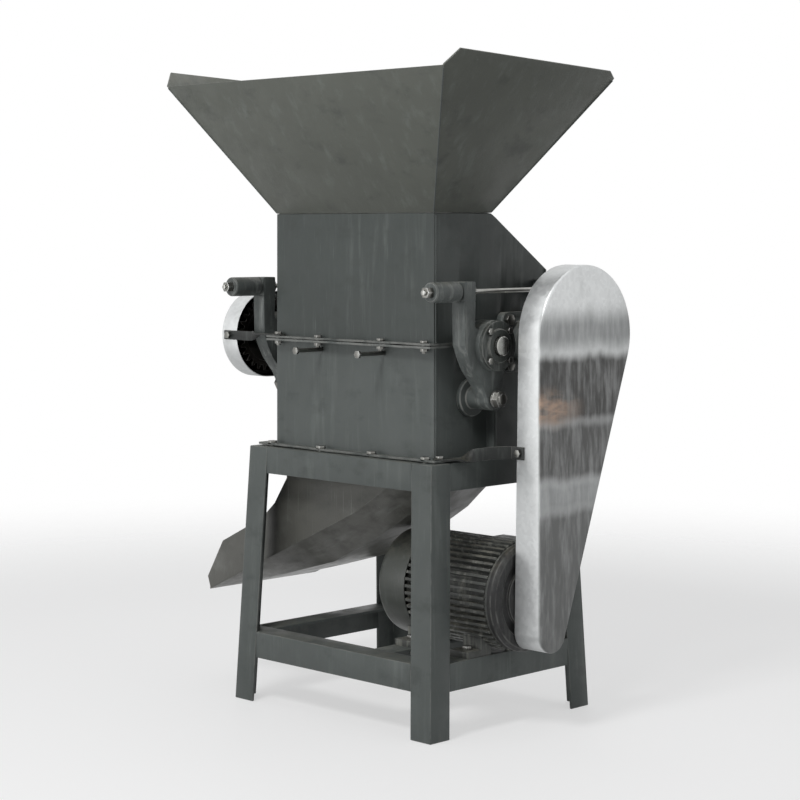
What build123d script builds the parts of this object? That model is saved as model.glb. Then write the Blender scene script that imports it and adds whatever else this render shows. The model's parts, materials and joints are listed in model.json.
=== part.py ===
from build123d import *

import os
from math import acos, atan2, cos, hypot, pi, radians, sin, tan

# Roller grain flaker on an angle iron stand, driven by an electric motor over two belts.
# Millimetres, +Z up, +X toward the belt side, -Y toward the front.
# Sizes are taken from the machine's own datum: the middle of the housing in X, the nip
# between the two rollers in Y, and the floor in Z.

# Stand
angle_width = 50.0
angle_wall = 5.0
stand_top = 488.0
stand_margin_x = 33.0
stand_margin_y = 41.0
foot_splay_x = 18.5
foot_splay_y = 22.0
lower_rail_top = 134.0

# Housing, in sheet steel
housing_half_y = 155.0
housing_sheet = 4.0
base_flange_wall = 4.0
base_flange_reach = 25.0
middle_flange_wall = 4.0
middle_flange_reach_x = 9.0
middle_flange_reach_y = 20.0
split_z = 697.0
shoulder_z = 830.0
housing_top = 937.0
throat_back_y = -2.0
wall_rib_height = 83.0
wall_rib_depth = 18.0
wall_rib_y = -10.0
wall_rib_wall = 8.0

# Hopper, in sheet steel
hopper_sheet = 3.0
hopper_rim_z = 1185.0
hopper_flare_x = 160.6
hopper_flare_front = 144.5
hopper_flare_back = 162.0
ear_front_rise = 28.0
ear_back_rise = 12.0
ear_front_clip = 23.5
ear_back_clip = 20.0

# Rollers, shafts and gears
roller_gap = 0.5
roller_centres = 140.0
roller_length = 400.0
roller_end_gap = 6.0
shaft_diameter = 40.0
shaft_end_diameter = 35.0
gear_module = 5.0
gear_teeth = 28
gear_width = 30.0
gear_reach = 138.0
gear_backlash = 1.6
gear_offset = 0.5
gear_recess = 7.0
gear_rim_wall = 9.0
gear_hub_radius = 30.0
pressure_angle = 20.0
roller_recess = 8.0
roller_rim_wall = 18.0
roller_hub_wall = 12.0
shaft_gear_tail = 20.0
shaft_pulley_tail = 42.0
shaft_cover_tail = 18.0

# Running fits and clearances
running_fit = 0.05
easy_gap = 0.3
shaft_passage = 4.0
bolt_clearance = 0.5

# Rear bearing units
unit_size = 112.0
unit_wall = 16.0
unit_boss_diameter = 84.0
unit_length = 38.0
unit_bolt_offset = 42.0
unit_bolt = 12.0

# Lever arms that carry the front roller
lever_open_angle = 1.5
pivot_y = -62.0
pivot_z = 600.0
pivot_bolt = 20.0
pivot_boss_diameter = 42.0
pivot_plate_diameter = 70.0
pivot_plate_wall = 10.0
pivot_spacer_diameter = 40.0
pivot_washer_diameter = 33.0
pivot_washer_wall = 3.0
pivot_nut_flats = 27.0
pivot_nut_height = 12.0
pivot_bolt_tail = 3.0
right_arm_gap = 35.0
left_arm_gap = 50.0
arm_width = 30.0
arm_boss_diameter = 92.0
arm_boss_length = 40.0
bearing_diameter = 62.0
bearing_length = 32.0
cover_wall = 10.0
cover_diameter = 90.0
cover_bolt = 8.0
cover_bolt_circle = 75.0
cover_bolt_flats = 11.0
cover_bolt_head = 5.5
cover_bolt_grip = 18.0
eye_z = 795.0
eye_front = -145.0
eye_depth = 30.0
eye_height = 36.0

# Tension rods, spring cups and springs
rod_diameter = 9.0
rod_tip = 5.0
rod_tail = 26.0
rod_anchor_inset = 15.0
rod_anchor_wall = 12.0
rod_anchor_height = 34.0
rod_anchor_margin = 16.0
rod_gusset = 24.0
rod_nut_flats = 18.0
rod_nut_height = 14.0
rod_collar_height = 10.0
cup_diameter = 37.0
cup_wall = 1.7
cup_length = 65.5
cup_floor = 3.0
cup_clearance = 1.4
eye_bore_gap = 2.5
spring_wire = 3.6
spring_mean_radius = 10.7
spring_pitch = 8.0
spring_turns = 7

# Guards, in thin galvanised sheet
guard_sheet = 1.5
gear_guard_radius = 86.0
gear_guard_lead = 27.0
gear_guard_depth = 46.0
belt_guard_depth = 63.0
belt_guard_lead = 49.0
belt_guard_edge_lean = 12.0
belt_guard_big_radius = 128.0
belt_guard_offset_y = 5.2
belt_guard_offset_z = 17.0
belt_guard_small_radius = 34.4
belt_guard_small_z = 183.0
strap_wall = 3.0
gear_strap_width = 18.0
belt_strap_width = 23.0
belt_strap_height = 505.0

# Pulleys and belts
pulley_reach = 116.0
pulley_width = 36.0
driven_pulley_radius = 108.0
motor_pulley_radius = 36.0
groove_pitch = 15.0
groove_top = 13.4
groove_bottom = 8.4
groove_depth = 12.0
belt_height = 8.0

# Motor
motor_y = -10.0
motor_axis_height = 106.0
motor_foot_inset = 151.0
motor_foot_pitch_x = 140.0
motor_foot_pitch_y = 160.0
motor_shaft = 28.0
motor_shaft_reach = 35.0
motor_core_radius = 88.0
motor_core_wall = 12.0
motor_fin_radius = 100.0
motor_fin_count = 48
motor_fin_gap = 8.0
motor_body_length = 214.0
motor_body_lead = 12.0
motor_rim_length = 5.0
motor_shield_wall = 17.0
motor_shield_chamfer = 7.0
motor_cowl_length = 74.0
motor_cowl_overlap = 10.0
motor_cowl_sheet = 2.0
motor_fan_length = 26.0
motor_foot_wall = 12.0
motor_foot_length = 46.0
motor_foot_width = 44.0
motor_web_width = 26.0
motor_web_height = 60.0
terminal_box_depth = 44.0
terminal_box_half = 46.0
terminal_box_rise = 34.0
gland_bore = 12.0
gland_length = 20.0

# Scrapers and their adjusting bolts
scraper_end_gap = 11.0
scraper_wall = 3.0
scraper_top = 688.0
scraper_height = 38.0
scraper_slope = 8.0
scraper_blade_reach = 49.0
scraper_travel = 4.0
scraper_wall_gap = 1.0
adjuster_x = 83.0
adjuster_z = 679.0
adjuster_reach = 70.0
adjuster_diameter = 8.0
adjuster_head = 6.0
adjuster_head_flats = 13.0

# Chute, in sheet steel
chute_sheet = 3.0
chute_belly_half = 80.0
chute_lip_fold = 484.0
chute_lip_belly = 479.0
spout_overhang = 186.0

# Places that follow from the sizes above
roller_radius = (roller_centres - roller_gap) / 2
roller_y = roller_centres / 2
housing_half_x = roller_length / 2 + roller_end_gap + housing_sheet
stand_half_x = housing_half_x + stand_margin_x
stand_half_y = housing_half_y + stand_margin_y
base_flange_half_x = housing_half_x + base_flange_reach
base_flange_half_y = housing_half_y + base_flange_reach
middle_flange_half_x = housing_half_x + middle_flange_reach_x
middle_flange_half_y = housing_half_y + middle_flange_reach_y
hopper_rim_half_x = housing_half_x + hopper_flare_x
hopper_rim_front = -housing_half_y - hopper_flare_front
hopper_rim_back = throat_back_y + hopper_flare_back
spout_reach = stand_half_x + spout_overhang
gear_x = -housing_half_x - gear_reach
gear_guard_x = gear_x - gear_guard_lead
pulley_x = housing_half_x + pulley_reach
right_arm_x = housing_half_x + right_arm_gap
left_arm_x = housing_half_x + left_arm_gap
right_boss_end = right_arm_x + arm_boss_length
left_boss_end = left_arm_x + arm_boss_length
shaft_left_end = gear_x - shaft_gear_tail
rear_shaft_right_end = pulley_x + shaft_pulley_tail
front_shaft_right_end = right_boss_end + shaft_cover_tail
belt_guard_face = pulley_x + belt_guard_lead
belt_guard_low_edge = belt_guard_face - belt_guard_depth
belt_guard_high_edge = belt_guard_low_edge + belt_guard_edge_lean
belt_guard_big_y = roller_y + belt_guard_offset_y
belt_guard_big_z = split_z + belt_guard_offset_z
motor_foot_x = stand_half_x - motor_foot_inset
motor_shaft_end = pulley_x + motor_shaft_reach
motor_body_left = motor_foot_x - motor_body_lead
motor_fins_left = motor_foot_x
motor_body_right = motor_body_left + motor_body_length
motor_cowl_right = motor_body_left + motor_cowl_overlap
motor_cowl_left = motor_cowl_right - motor_cowl_length
adjuster_end = housing_half_y + adjuster_reach
rod_anchor_y = housing_half_y - rod_anchor_inset
wall_inside_x = housing_half_x - housing_sheet
wall_inside_y = housing_half_y - housing_sheet
base_z = stand_top + base_flange_wall
flange_low_z = split_z - middle_flange_wall
flange_high_z = split_z + middle_flange_wall
lever_travel = sin(radians(lever_open_angle))
cup_mouth = eye_front - (eye_z - pivot_z) * lever_travel - cup_clearance
cup_front = cup_mouth - cup_length
rod_front = cup_front - rod_nut_height - rod_tip
rod_back = rod_anchor_y + rod_tail
scraper_y = wall_inside_y - scraper_wall_gap - scraper_travel - scraper_wall
scraper_half_length = wall_inside_x - scraper_end_gap
motor_z = lower_rail_top + motor_axis_height

# The origin is on the floor, under the middle of the whole machine's box.
ear_top_x = housing_half_x + (hopper_rim_half_x - housing_half_x) * (
    (hopper_rim_z + ear_front_rise - housing_top) / (hopper_rim_z - housing_top)
)
machine_x = (spout_reach - ear_top_x) / 2
machine_y = -(hopper_rim_front + max(stand_half_y + foot_splay_y, adjuster_end)) / 2

os.makedirs("parts", exist_ok=True)


def side(x=0.0):
    """Upright plane across the machine, seen from the right: local x is +Y, local y is +Z."""
    return Plane(origin=(machine_x + x, machine_y, 0), x_dir=(0, 1, 0), z_dir=(1, 0, 0))


def front(y=0.0):
    """Upright plane seen from the front: local x is +X, local y is +Z, normal toward -Y."""
    return Plane(origin=(machine_x, machine_y + y, 0), x_dir=(1, 0, 0), z_dir=(0, -1, 0))


def ground(z=0.0):
    """Level plane at a height above the floor."""
    return Plane(origin=(machine_x, machine_y, z))


def keep(piece, name):
    """Label a finished piece and write it to its own file."""
    piece.part.label = name
    export_step(piece.part, f"parts/{name}.step")


def disc(plane, spots, radius, amount, mode=Mode.ADD):
    """Round bars, or bores, of one length that stand on a plane."""
    with BuildSketch(plane) as profile:
        with Locations(*spots):
            Circle(radius)
    extrude(profile.sketch, amount=amount, mode=mode)


def block(plane, width, height, amount, centre=(0, 0), mode=Mode.ADD):
    """A rectangular bar that stands on a plane."""
    with BuildSketch(plane) as profile:
        with Locations(centre):
            Rectangle(width, height)
    extrude(profile.sketch, amount=amount, mode=mode)


def hexagon(plane, spots, flats, amount):
    """Hexagon heads or nuts that stand on a plane."""
    with BuildSketch(plane) as profile:
        with Locations(*spots):
            RegularPolygon(radius=flats / 2, side_count=6, major_radius=False)
    extrude(profile.sketch, amount=amount)


def bolts(plane, spots, diameter, grip, nut_at=None):
    """Hexagon bolts with their heads on a plane, reaching down into it, with nuts if asked."""
    head_height = 0.65 * diameter
    flats = 1.6 * diameter
    hexagon(plane, spots, flats, head_height)
    disc(plane, spots, diameter / 2, -grip)
    if nut_at is not None:
        hexagon(plane.offset(-nut_at), spots, flats, -0.8 * diameter)


# ------------------------------------------------------------------------------- stand


def splay(z):
    """How far the stand has spread at a height, as a share of the spread at the floor."""
    return (stand_top - z) / stand_top


def leg(name, sign_x, sign_y):
    """Angle iron leg that leans outward toward the floor in both directions."""
    with BuildPart() as piece:
        for z in (0.0, stand_top):
            reach_x = stand_half_x + foot_splay_x * splay(z)
            reach_y = stand_half_y + foot_splay_y * splay(z)
            corner = [
                (reach_x, reach_y),
                (reach_x - angle_width, reach_y),
                (reach_x - angle_width, reach_y - angle_wall),
                (reach_x - angle_wall, reach_y - angle_wall),
                (reach_x - angle_wall, reach_y - angle_width),
                (reach_x, reach_y - angle_width),
            ]
            with BuildSketch(ground(z)):
                Polygon(*[(sign_x * x, sign_y * y) for x, y in corner], align=None)
        loft(ruled=True)
    keep(piece, name)


def rail(name, turn, top, shelf_bolts):
    """Angle iron between two legs, flush with their outer faces at its upper edge.

    The turn is 0 for the front, 90 for the right, 180 for the back and 270 for the left.
    The shelf of a front or back rail fills the corners behind the legs.
    """
    along_x = turn in (0, 180)
    reach_x = stand_half_x + foot_splay_x * splay(top)
    reach_y = stand_half_y + foot_splay_y * splay(top)
    reach, run = (reach_y, reach_x) if along_x else (reach_x, reach_y)
    spread = foot_splay_x if along_x else foot_splay_y
    half_run = run - angle_width
    low_half_run = half_run + spread * angle_width / stand_top
    shelf_half = run - angle_wall if along_x else half_run
    out = Vector(0, -1, 0).rotate(Axis.Z, turn)
    along = Vector(1, 0, 0).rotate(Axis.Z, turn)
    face = Plane(origin=Vector(machine_x, machine_y, 0) + out * reach, x_dir=along, z_dir=out)
    with BuildPart() as piece:
        with BuildSketch(face):
            Polygon(
                (-low_half_run, top - angle_width),
                (low_half_run, top - angle_width),
                (half_run, top),
                (-half_run, top),
                align=None,
            )
        extrude(amount=-angle_wall)
        shelf = face.offset(-angle_wall)
        block(shelf, 2 * shelf_half, angle_wall, angle_wall - angle_width, (0, top - angle_wall / 2))
        if shelf_bolts:
            radius = (shelf_bolts[0][2] + bolt_clearance) / 2
            spots = [(x, y) for x, y, _ in shelf_bolts]
            disc(ground(top - angle_wall), spots, radius, angle_wall, Mode.SUBTRACT)
    keep(piece, name)


base_bolt = 10.0
base_bolt_edge = 30.0
base_bolt_inner = 68.0
base_bolt_outer = base_flange_half_x - base_bolt_edge
base_bolt_y = (stand_half_y - angle_width + base_flange_half_y) / 2 + 9.0
base_bolt_xs = (-base_bolt_outer, -base_bolt_inner, base_bolt_inner, base_bolt_outer)
motor_bolt = 10.0
front_foot_y = motor_y - motor_foot_pitch_y / 2
back_foot_y = motor_y + motor_foot_pitch_y / 2
drive_foot_x = motor_foot_x + motor_foot_pitch_x

for corner_name, sign_x, sign_y in (
    ("front_left", -1, -1),
    ("front_right", 1, -1),
    ("back_left", -1, 1),
    ("back_right", 1, 1),
):
    leg(f"frame_leg_{corner_name}", sign_x, sign_y)

for side_name, turn in (("front", 0), ("right", 90), ("back", 180), ("left", 270)):
    sign_y = {0: -1, 180: 1}.get(turn, 0)
    top_spots = [(x, sign_y * base_bolt_y, base_bolt) for x in base_bolt_xs] if sign_y else []
    drive_spots = [(drive_foot_x, y, motor_bolt) for y in (front_foot_y, back_foot_y)]
    rail(f"upper_rail_{side_name}", turn, stand_top, top_spots)
    rail(f"lower_rail_{side_name}", turn, lower_rail_top, drive_spots if turn == 90 else [])

crossbar_half = stand_half_y + foot_splay_y * splay(lower_rail_top) - angle_width
with BuildPart() as motor_crossbar:
    with BuildSketch(front(crossbar_half)):
        with Locations((motor_foot_x, lower_rail_top)):
            Rectangle(angle_width, angle_width, align=(Align.CENTER, Align.MAX))
        with Locations((motor_foot_x + angle_wall, lower_rail_top - angle_wall)):
            Rectangle(angle_width, angle_width, align=(Align.CENTER, Align.MAX), mode=Mode.SUBTRACT)
    extrude(amount=2 * crossbar_half)
    disc(
        ground(lower_rail_top - angle_wall),
        [(motor_foot_x, front_foot_y), (motor_foot_x, back_foot_y)],
        (motor_bolt + bolt_clearance) / 2,
        angle_wall,
        Mode.SUBTRACT,
    )
keep(motor_crossbar, "motor_crossbar")


# ------------------------------------------------------------------------------- housing

middle_bolt = 8.0
middle_bolt_edge_x = 24.0
middle_bolt_edge_y = 10.0
middle_bolt_inner = 84.0
middle_bolt_outer = middle_flange_half_x - middle_bolt_edge_x
middle_bolt_y = middle_flange_half_y - middle_bolt_edge_y
middle_bolt_xs = (-middle_bolt_outer, -middle_bolt_inner, middle_bolt_inner, middle_bolt_outer)
front_passage = shaft_diameter / 2 + shaft_passage + (split_z - pivot_z) * lever_travel
rear_passage = shaft_diameter / 2 + shaft_passage
unit_opening = unit_size + 2 * easy_gap
unit_offsets = (-unit_bolt_offset, unit_bolt_offset)
unit_spots = [(roller_y + across, split_z + rise) for across in unit_offsets for rise in unit_offsets]


def flange_cuts(low, wall, half_x):
    """Bolt holes in a joint flange, and room for the rear bearing units at its sides."""
    spots = [(x, s * middle_bolt_y) for x in middle_bolt_xs for s in (-1, 1)]
    disc(ground(low), spots, (middle_bolt + bolt_clearance) / 2, wall, Mode.SUBTRACT)
    overhang = half_x - housing_half_x
    for sign in (-1, 1):
        spot = (sign * (housing_half_x + overhang / 2), roller_y)
        block(ground(low), overhang, unit_opening, wall, spot, Mode.SUBTRACT)


def shaft_cuts():
    """Half holes for the shafts on the split between the two housings, and unit bolt holes."""
    reach = middle_flange_half_x
    disc(side(-reach), [(-roller_y, split_z)], front_passage, 2 * reach, Mode.SUBTRACT)
    disc(side(-reach), [(roller_y, split_z)], rear_passage, 2 * reach, Mode.SUBTRACT)
    radius = (unit_bolt + bolt_clearance) / 2
    disc(side(-housing_half_x), unit_spots, radius, 2 * housing_half_x, Mode.SUBTRACT)


with BuildPart() as lower_housing:
    block(ground(stand_top), 2 * housing_half_x, 2 * housing_half_y, split_z - stand_top)
    ends = lower_housing.faces().filter_by(Axis.Z)
    offset(amount=-housing_sheet, openings=ends)
    with BuildSketch(ground(stand_top)):
        Rectangle(2 * base_flange_half_x, 2 * base_flange_half_y)
        Rectangle(2 * wall_inside_x, 2 * wall_inside_y, mode=Mode.SUBTRACT)
    extrude(amount=base_flange_wall)
    with BuildSketch(ground(flange_low_z)):
        Rectangle(2 * middle_flange_half_x, 2 * middle_flange_half_y)
        Rectangle(2 * wall_inside_x, 2 * wall_inside_y, mode=Mode.SUBTRACT)
    extrude(amount=middle_flange_wall)
    for sign in (-1, 1):
        rib_spot = (sign * (housing_half_x + wall_rib_depth / 2), wall_rib_y)
        block(ground(base_z), wall_rib_depth, wall_rib_wall, wall_rib_height, rib_spot)
    flange_cuts(flange_low_z, middle_flange_wall, middle_flange_half_x)
    shaft_cuts()
    base_spots = [(x, s * base_bolt_y) for x in base_bolt_xs for s in (-1, 1)]
    disc(
        ground(stand_top), base_spots, (base_bolt + bolt_clearance) / 2, base_flange_wall, Mode.SUBTRACT
    )
    adjuster_spots = [(-adjuster_x, adjuster_z), (adjuster_x, adjuster_z)]
    adjuster_hole = adjuster_diameter / 2 + running_fit
    disc(front(housing_half_y), adjuster_spots, adjuster_hole, 2 * housing_half_y, Mode.SUBTRACT)
keep(lower_housing, "lower_housing")

with BuildPart() as upper_housing:
    with BuildSketch(side(-housing_half_x)):
        Polygon(
            (-housing_half_y, split_z),
            (housing_half_y, split_z),
            (housing_half_y, shoulder_z),
            (throat_back_y, housing_top),
            (-housing_half_y, housing_top),
            align=None,
        )
    extrude(amount=2 * housing_half_x)
    ends = upper_housing.faces().filter_by(Axis.Z)
    offset(amount=-housing_sheet, openings=ends)
    with BuildSketch(ground(split_z)):
        Rectangle(2 * middle_flange_half_x, 2 * middle_flange_half_y)
        Rectangle(2 * wall_inside_x, 2 * wall_inside_y, mode=Mode.SUBTRACT)
    extrude(amount=middle_flange_wall)
    flange_cuts(split_z, middle_flange_wall, middle_flange_half_x)
    shaft_cuts()
keep(upper_housing, "upper_housing")

guide_wall = 3.0
guide_tip_y = 40.0
guide_tip_z = 766.0
guide_high_z = 815.0
guide_length = hypot(wall_inside_y - guide_tip_y, guide_high_z - guide_tip_z)
guide_rise = guide_wall * guide_length / (wall_inside_y - guide_tip_y)
with BuildPart() as feed_guides:
    for sign in (-1, 1):
        with BuildSketch(side(-wall_inside_x)):
            Polygon(
                (sign * guide_tip_y, guide_tip_z),
                (sign * wall_inside_y, guide_high_z),
                (sign * wall_inside_y, guide_high_z + guide_rise),
                (sign * guide_tip_y, guide_tip_z + guide_rise),
                align=None,
            )
    extrude(amount=2 * wall_inside_x)
keep(feed_guides, "feed_guides")

strap_bolt_spot = (middle_bolt_xs[0], -middle_bolt_y)
with BuildPart() as housing_bolts:
    bolts(ground(base_z), base_spots, base_bolt, 30.0, base_flange_wall + angle_wall)
    for x in middle_bolt_xs:
        for sign in (-1, 1):
            spot = (x, sign * middle_bolt_y)
            lift = strap_wall if spot == strap_bolt_spot else 0.0
            grip = 2 * middle_flange_wall + lift
            bolts(ground(flange_high_z + lift), [spot], middle_bolt, grip + 10.0, grip)
keep(housing_bolts, "housing_bolts")

# ------------------------------------------------------------------------------- hopper


def hopper_reach(z):
    """Half width, front and back of the hopper's outside at a height."""
    share = (z - housing_top) / (hopper_rim_z - housing_top)
    half_x = housing_half_x + (hopper_rim_half_x - housing_half_x) * share
    front_y = -housing_half_y + (hopper_rim_front + housing_half_y) * share
    back_y = throat_back_y + (hopper_rim_back - throat_back_y) * share
    return half_x, front_y, back_y


ear_lean = atan2(hopper_rim_z - housing_top, hopper_rim_half_x - housing_half_x)
with BuildPart() as hopper:
    for z in (housing_top, hopper_rim_z):
        half_x, front_y, back_y = hopper_reach(z)
        with BuildSketch(ground(z)):
            with Locations((0, (front_y + back_y) / 2)):
                Rectangle(2 * half_x, back_y - front_y)
    loft(ruled=True)
    ends = hopper.faces().filter_by(Axis.Z)
    offset(amount=-hopper_sheet, openings=ends)
    for sign in (-1, 1):
        sink = 4 * hopper_sheet
        low_half_x, low_front, low_back = hopper_reach(hopper_rim_z - sink)
        panel = Plane(
            origin=(machine_x + sign * hopper_rim_half_x, machine_y, hopper_rim_z),
            x_dir=(0, sign, 0),
            z_dir=(sign * sin(ear_lean), 0, -cos(ear_lean)),
        )
        stretch = 1 / sin(ear_lean)
        ear = [
            (low_front + hopper_sheet, -sink * stretch),
            (hopper_rim_front, 0),
            (hopper_rim_front + ear_front_clip, ear_front_rise * stretch),
            (hopper_rim_back - ear_back_clip, ear_back_rise * stretch),
            (hopper_rim_back, 0),
            (low_back - hopper_sheet, -sink * stretch),
        ]
        with BuildSketch(panel):
            Polygon(*[(sign * y, rise) for y, rise in ear], align=None)
        extrude(amount=-hopper_sheet)
keep(hopper, "hopper")

# ------------------------------------------------------------------------------- chute

chute_half_x = stand_half_x - angle_width - easy_gap
chute_half_y = stand_half_y - angle_width - easy_gap
chute_top = stand_top - easy_gap

# Stations along the chute: place in X, height of the side fold, height of the belly.
chute_stations = (
    (chute_half_x, chute_lip_fold, chute_lip_belly),
    (76.0, 426.0, 374.0),
    (0.0, 378.0, 326.0),
    (-stand_half_x + 113.0, 317.0, 262.0),
    (-stand_half_x - 14.0, 259.0, 226.0),
    (-spout_reach - 7.0, 175.0, 178.0),
)


# Cut line of the chute's sides, from under the spout up to the stand: place in X and height.
chute_side_cut = (
    (-spout_reach + 7.0, 150.0),
    (-spout_reach + 7.0, 187.0),
    (-spout_reach, 207.0),
    (-spout_reach + 46.0, 283.0),
    (-spout_reach + 112.0, 315.0),
    (-spout_reach + 174.0, 349.0),
    (-stand_half_x + 15.0, 373.0),
)
chute_side_end = 425.0


def chute_section(x, fold_z, belly_z, inset):
    """Cross-section of the chute: upright sides, bevelled folds and a flat belly."""
    half = chute_half_y - inset
    belly = chute_belly_half - inset / 2
    rise = 1.3 * inset
    top = chute_top + inset
    with BuildSketch(side(x)) as section:
        Polygon(
            (-half, top),
            (-half, fold_z + rise),
            (-belly, belly_z + rise),
            (belly, belly_z + rise),
            (half, fold_z + rise),
            (half, top),
            align=None,
        )
    return section.sketch


end_lap = 2.0
with BuildPart() as chute:
    loft([chute_section(*station, 0.0) for station in chute_stations], ruled=True)
    inner = [chute_section(*station, chute_sheet) for station in chute_stations]
    loft(inner, ruled=True, mode=Mode.SUBTRACT)
    with BuildSketch(front(stand_half_y)):
        Polygon(
            (-spout_reach - angle_width, stand_top + angle_width),
            (-spout_reach - angle_width, 0),
            *chute_side_cut,
            (-chute_half_x, chute_side_end),
            (-chute_half_x, stand_top + angle_width),
            align=None,
        )
    extrude(amount=2 * stand_half_y, mode=Mode.SUBTRACT)
    with BuildSketch(side(chute_half_x - chute_sheet)):
        Polygon(
            (-chute_half_y, chute_top),
            (-chute_half_y, chute_lip_fold + end_lap),
            (-chute_belly_half, chute_lip_belly + end_lap),
            (chute_belly_half, chute_lip_belly + end_lap),
            (chute_half_y, chute_lip_fold + end_lap),
            (chute_half_y, chute_top),
            align=None,
        )
    extrude(amount=chute_sheet)
keep(chute, "chute")

# ------------------------------------------------------------------------------- rollers


def bar(places, y, name):
    """Stepped round shaft along X: places are (start, end, diameter)."""
    with BuildPart() as piece:
        for start, end, diameter in places:
            disc(side(start), [(y, split_z)], diameter / 2, end - start)
        tips = piece.faces().filter_by(Axis.X).sort_by(Axis.X)
        chamfer(tips[0].edges() + tips[-1].edges(), 1.5)
    keep(piece, name)


def roller(y, name):
    """Plain chilled roller with relieved ends, bored for its shaft."""
    with BuildPart() as piece:
        disc(side(-roller_length / 2), [(y, split_z)], roller_radius, roller_length)
        rims = piece.edges().filter_by(GeomType.CIRCLE)
        chamfer(rims, 2.0)
        for start, amount in ((-roller_length / 2, roller_recess), (roller_length / 2, -roller_recess)):
            with BuildSketch(side(start)):
                with Locations((y, split_z)):
                    Circle(roller_radius - roller_rim_wall)
                    Circle(shaft_diameter / 2 + roller_hub_wall, mode=Mode.SUBTRACT)
            extrude(amount=amount, mode=Mode.SUBTRACT)
        disc(
            side(-roller_length / 2), [(y, split_z)], shaft_diameter / 2, roller_length, Mode.SUBTRACT
        )
    keep(piece, name)


roller(roller_y, "rear_roller")
roller(-roller_y, "front_roller")

gear_left = gear_x - gear_width / 2
gear_right = gear_x + gear_width / 2
rear_step_left = gear_right + 4.0
rear_step_right = pulley_x - 4.0
bar(
    [
        (shaft_left_end, rear_step_left, shaft_end_diameter),
        (rear_step_left, rear_step_right, shaft_diameter),
        (rear_step_right, rear_shaft_right_end, shaft_end_diameter),
    ],
    roller_y,
    "rear_shaft",
)
bar(
    [
        (shaft_left_end, -left_boss_end + 2.0, shaft_end_diameter),
        (-left_boss_end + 2.0, right_boss_end - 2.0, shaft_diameter),
        (right_boss_end - 2.0, front_shaft_right_end, shaft_end_diameter),
    ],
    -roller_y,
    "front_shaft",
)

# ------------------------------------------------------------------------------- gears

pitch_radius = gear_module * gear_teeth / 2
base_radius = pitch_radius * cos(radians(pressure_angle))
tip_radius = pitch_radius + gear_module
root_radius = pitch_radius - 1.25 * gear_module


def involute(angle):
    return tan(angle) - angle


def tooth_half_angle(radius):
    """Half the angle that a tooth covers at a radius, thinned for the backlash."""
    thickness = pi * gear_module / 2 - gear_backlash / 2
    at_pitch = thickness / (2 * pitch_radius) + involute(radians(pressure_angle))
    if radius <= base_radius:
        return at_pitch
    return at_pitch - involute(acos(base_radius / radius))


def on_circle(radius, angle):
    return (radius * cos(angle), radius * sin(angle))


def flank(middle, hand):
    """Three points of a tooth's flank: on the base circle, half way up and at the tip."""
    radii = (base_radius, (base_radius + tip_radius) / 2, tip_radius)
    return [on_circle(radius, middle + hand * tooth_half_angle(radius)) for radius in radii]


def tooth(middle, following):
    """One tooth's line, up from the root circle, over the tip and on to the next tooth."""
    rising = flank(middle, -1)
    falling = flank(middle, 1)[::-1]
    foot = tooth_half_angle(root_radius)
    Line(on_circle(root_radius, middle - foot), rising[0])
    ThreePointArc(*rising)
    Line(rising[-1], falling[0])
    ThreePointArc(*falling)
    Line(falling[-1], on_circle(root_radius, middle + foot))
    Line(on_circle(root_radius, middle + foot), on_circle(root_radius, following - foot))


def gear(y, first_tooth, name):
    """Spur gear with involute flanks, a recessed web and a hub."""
    tooth_step = 2 * pi / gear_teeth
    with BuildPart() as piece:
        with BuildSketch(side(gear_left)):
            with Locations((y, split_z)):
                with BuildSketch(mode=Mode.PRIVATE) as teeth:
                    with BuildLine():
                        for number in range(gear_teeth):
                            middle = first_tooth + number * tooth_step
                            tooth(middle, middle + tooth_step)
                    make_face()
                add(teeth.sketch)
        extrude(amount=gear_width)
        for start, amount in ((gear_left, gear_recess), (gear_right, -gear_recess)):
            with BuildSketch(side(start)):
                with Locations((y, split_z)):
                    Circle(root_radius - gear_rim_wall)
                    Circle(gear_hub_radius, mode=Mode.SUBTRACT)
            extrude(amount=amount, mode=Mode.SUBTRACT)
        bore = shaft_end_diameter / 2
        disc(side(gear_left), [(y, split_z)], bore, gear_width, Mode.SUBTRACT)
    keep(piece, name)


gear(roller_y, pi, "rear_gear")
gear(-roller_y, pi / gear_teeth - gear_offset / pitch_radius, "front_gear")

# ------------------------------------------------------------------------------- rear bearings


def bearing_unit(sign, name):
    """Square flanged bearing unit bolted to the housing wall, with a running bore."""
    wall = side(sign * housing_half_x)
    with BuildPart() as piece:
        with BuildSketch(wall):
            with Locations((roller_y, split_z)):
                RectangleRounded(unit_size, unit_size, 14.0)
        extrude(amount=sign * unit_wall)
        disc(wall, [(roller_y, split_z)], unit_boss_diameter / 2, sign * unit_length)
        rim = piece.faces().filter_by(Axis.X).sort_by(Axis.X)[-1 if sign > 0 else 0]
        chamfer(rim.edges(), 4.0)
        with BuildSketch(side(sign * (housing_half_x + unit_length))):
            with Locations((roller_y, split_z)):
                Circle(unit_boss_diameter / 2 - 10.0)
                Circle(shaft_diameter / 2 + 6.0, mode=Mode.SUBTRACT)
        extrude(amount=-sign * 5.0, mode=Mode.SUBTRACT)
        bore = shaft_diameter / 2 + running_fit
        disc(wall, [(roller_y, split_z)], bore, sign * unit_length, Mode.SUBTRACT)
        radius = (unit_bolt + bolt_clearance) / 2
        disc(wall, unit_spots, radius, sign * unit_wall, Mode.SUBTRACT)
    keep(piece, name)


bearing_unit(1, "rear_bearing_right")
bearing_unit(-1, "rear_bearing_left")

# ------------------------------------------------------------------------------- lever arms

eye_back = eye_front + eye_depth
rod_xs = (right_arm_x + arm_width / 2, -left_arm_x - arm_width / 2)
bolt_throw = cover_bolt_circle / 2
cover_spots = [
    (-roller_y + bolt_throw * cos(radians(angle)), split_z + bolt_throw * sin(radians(angle)))
    for angle in (45, 135, 225, 315)
]


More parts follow.
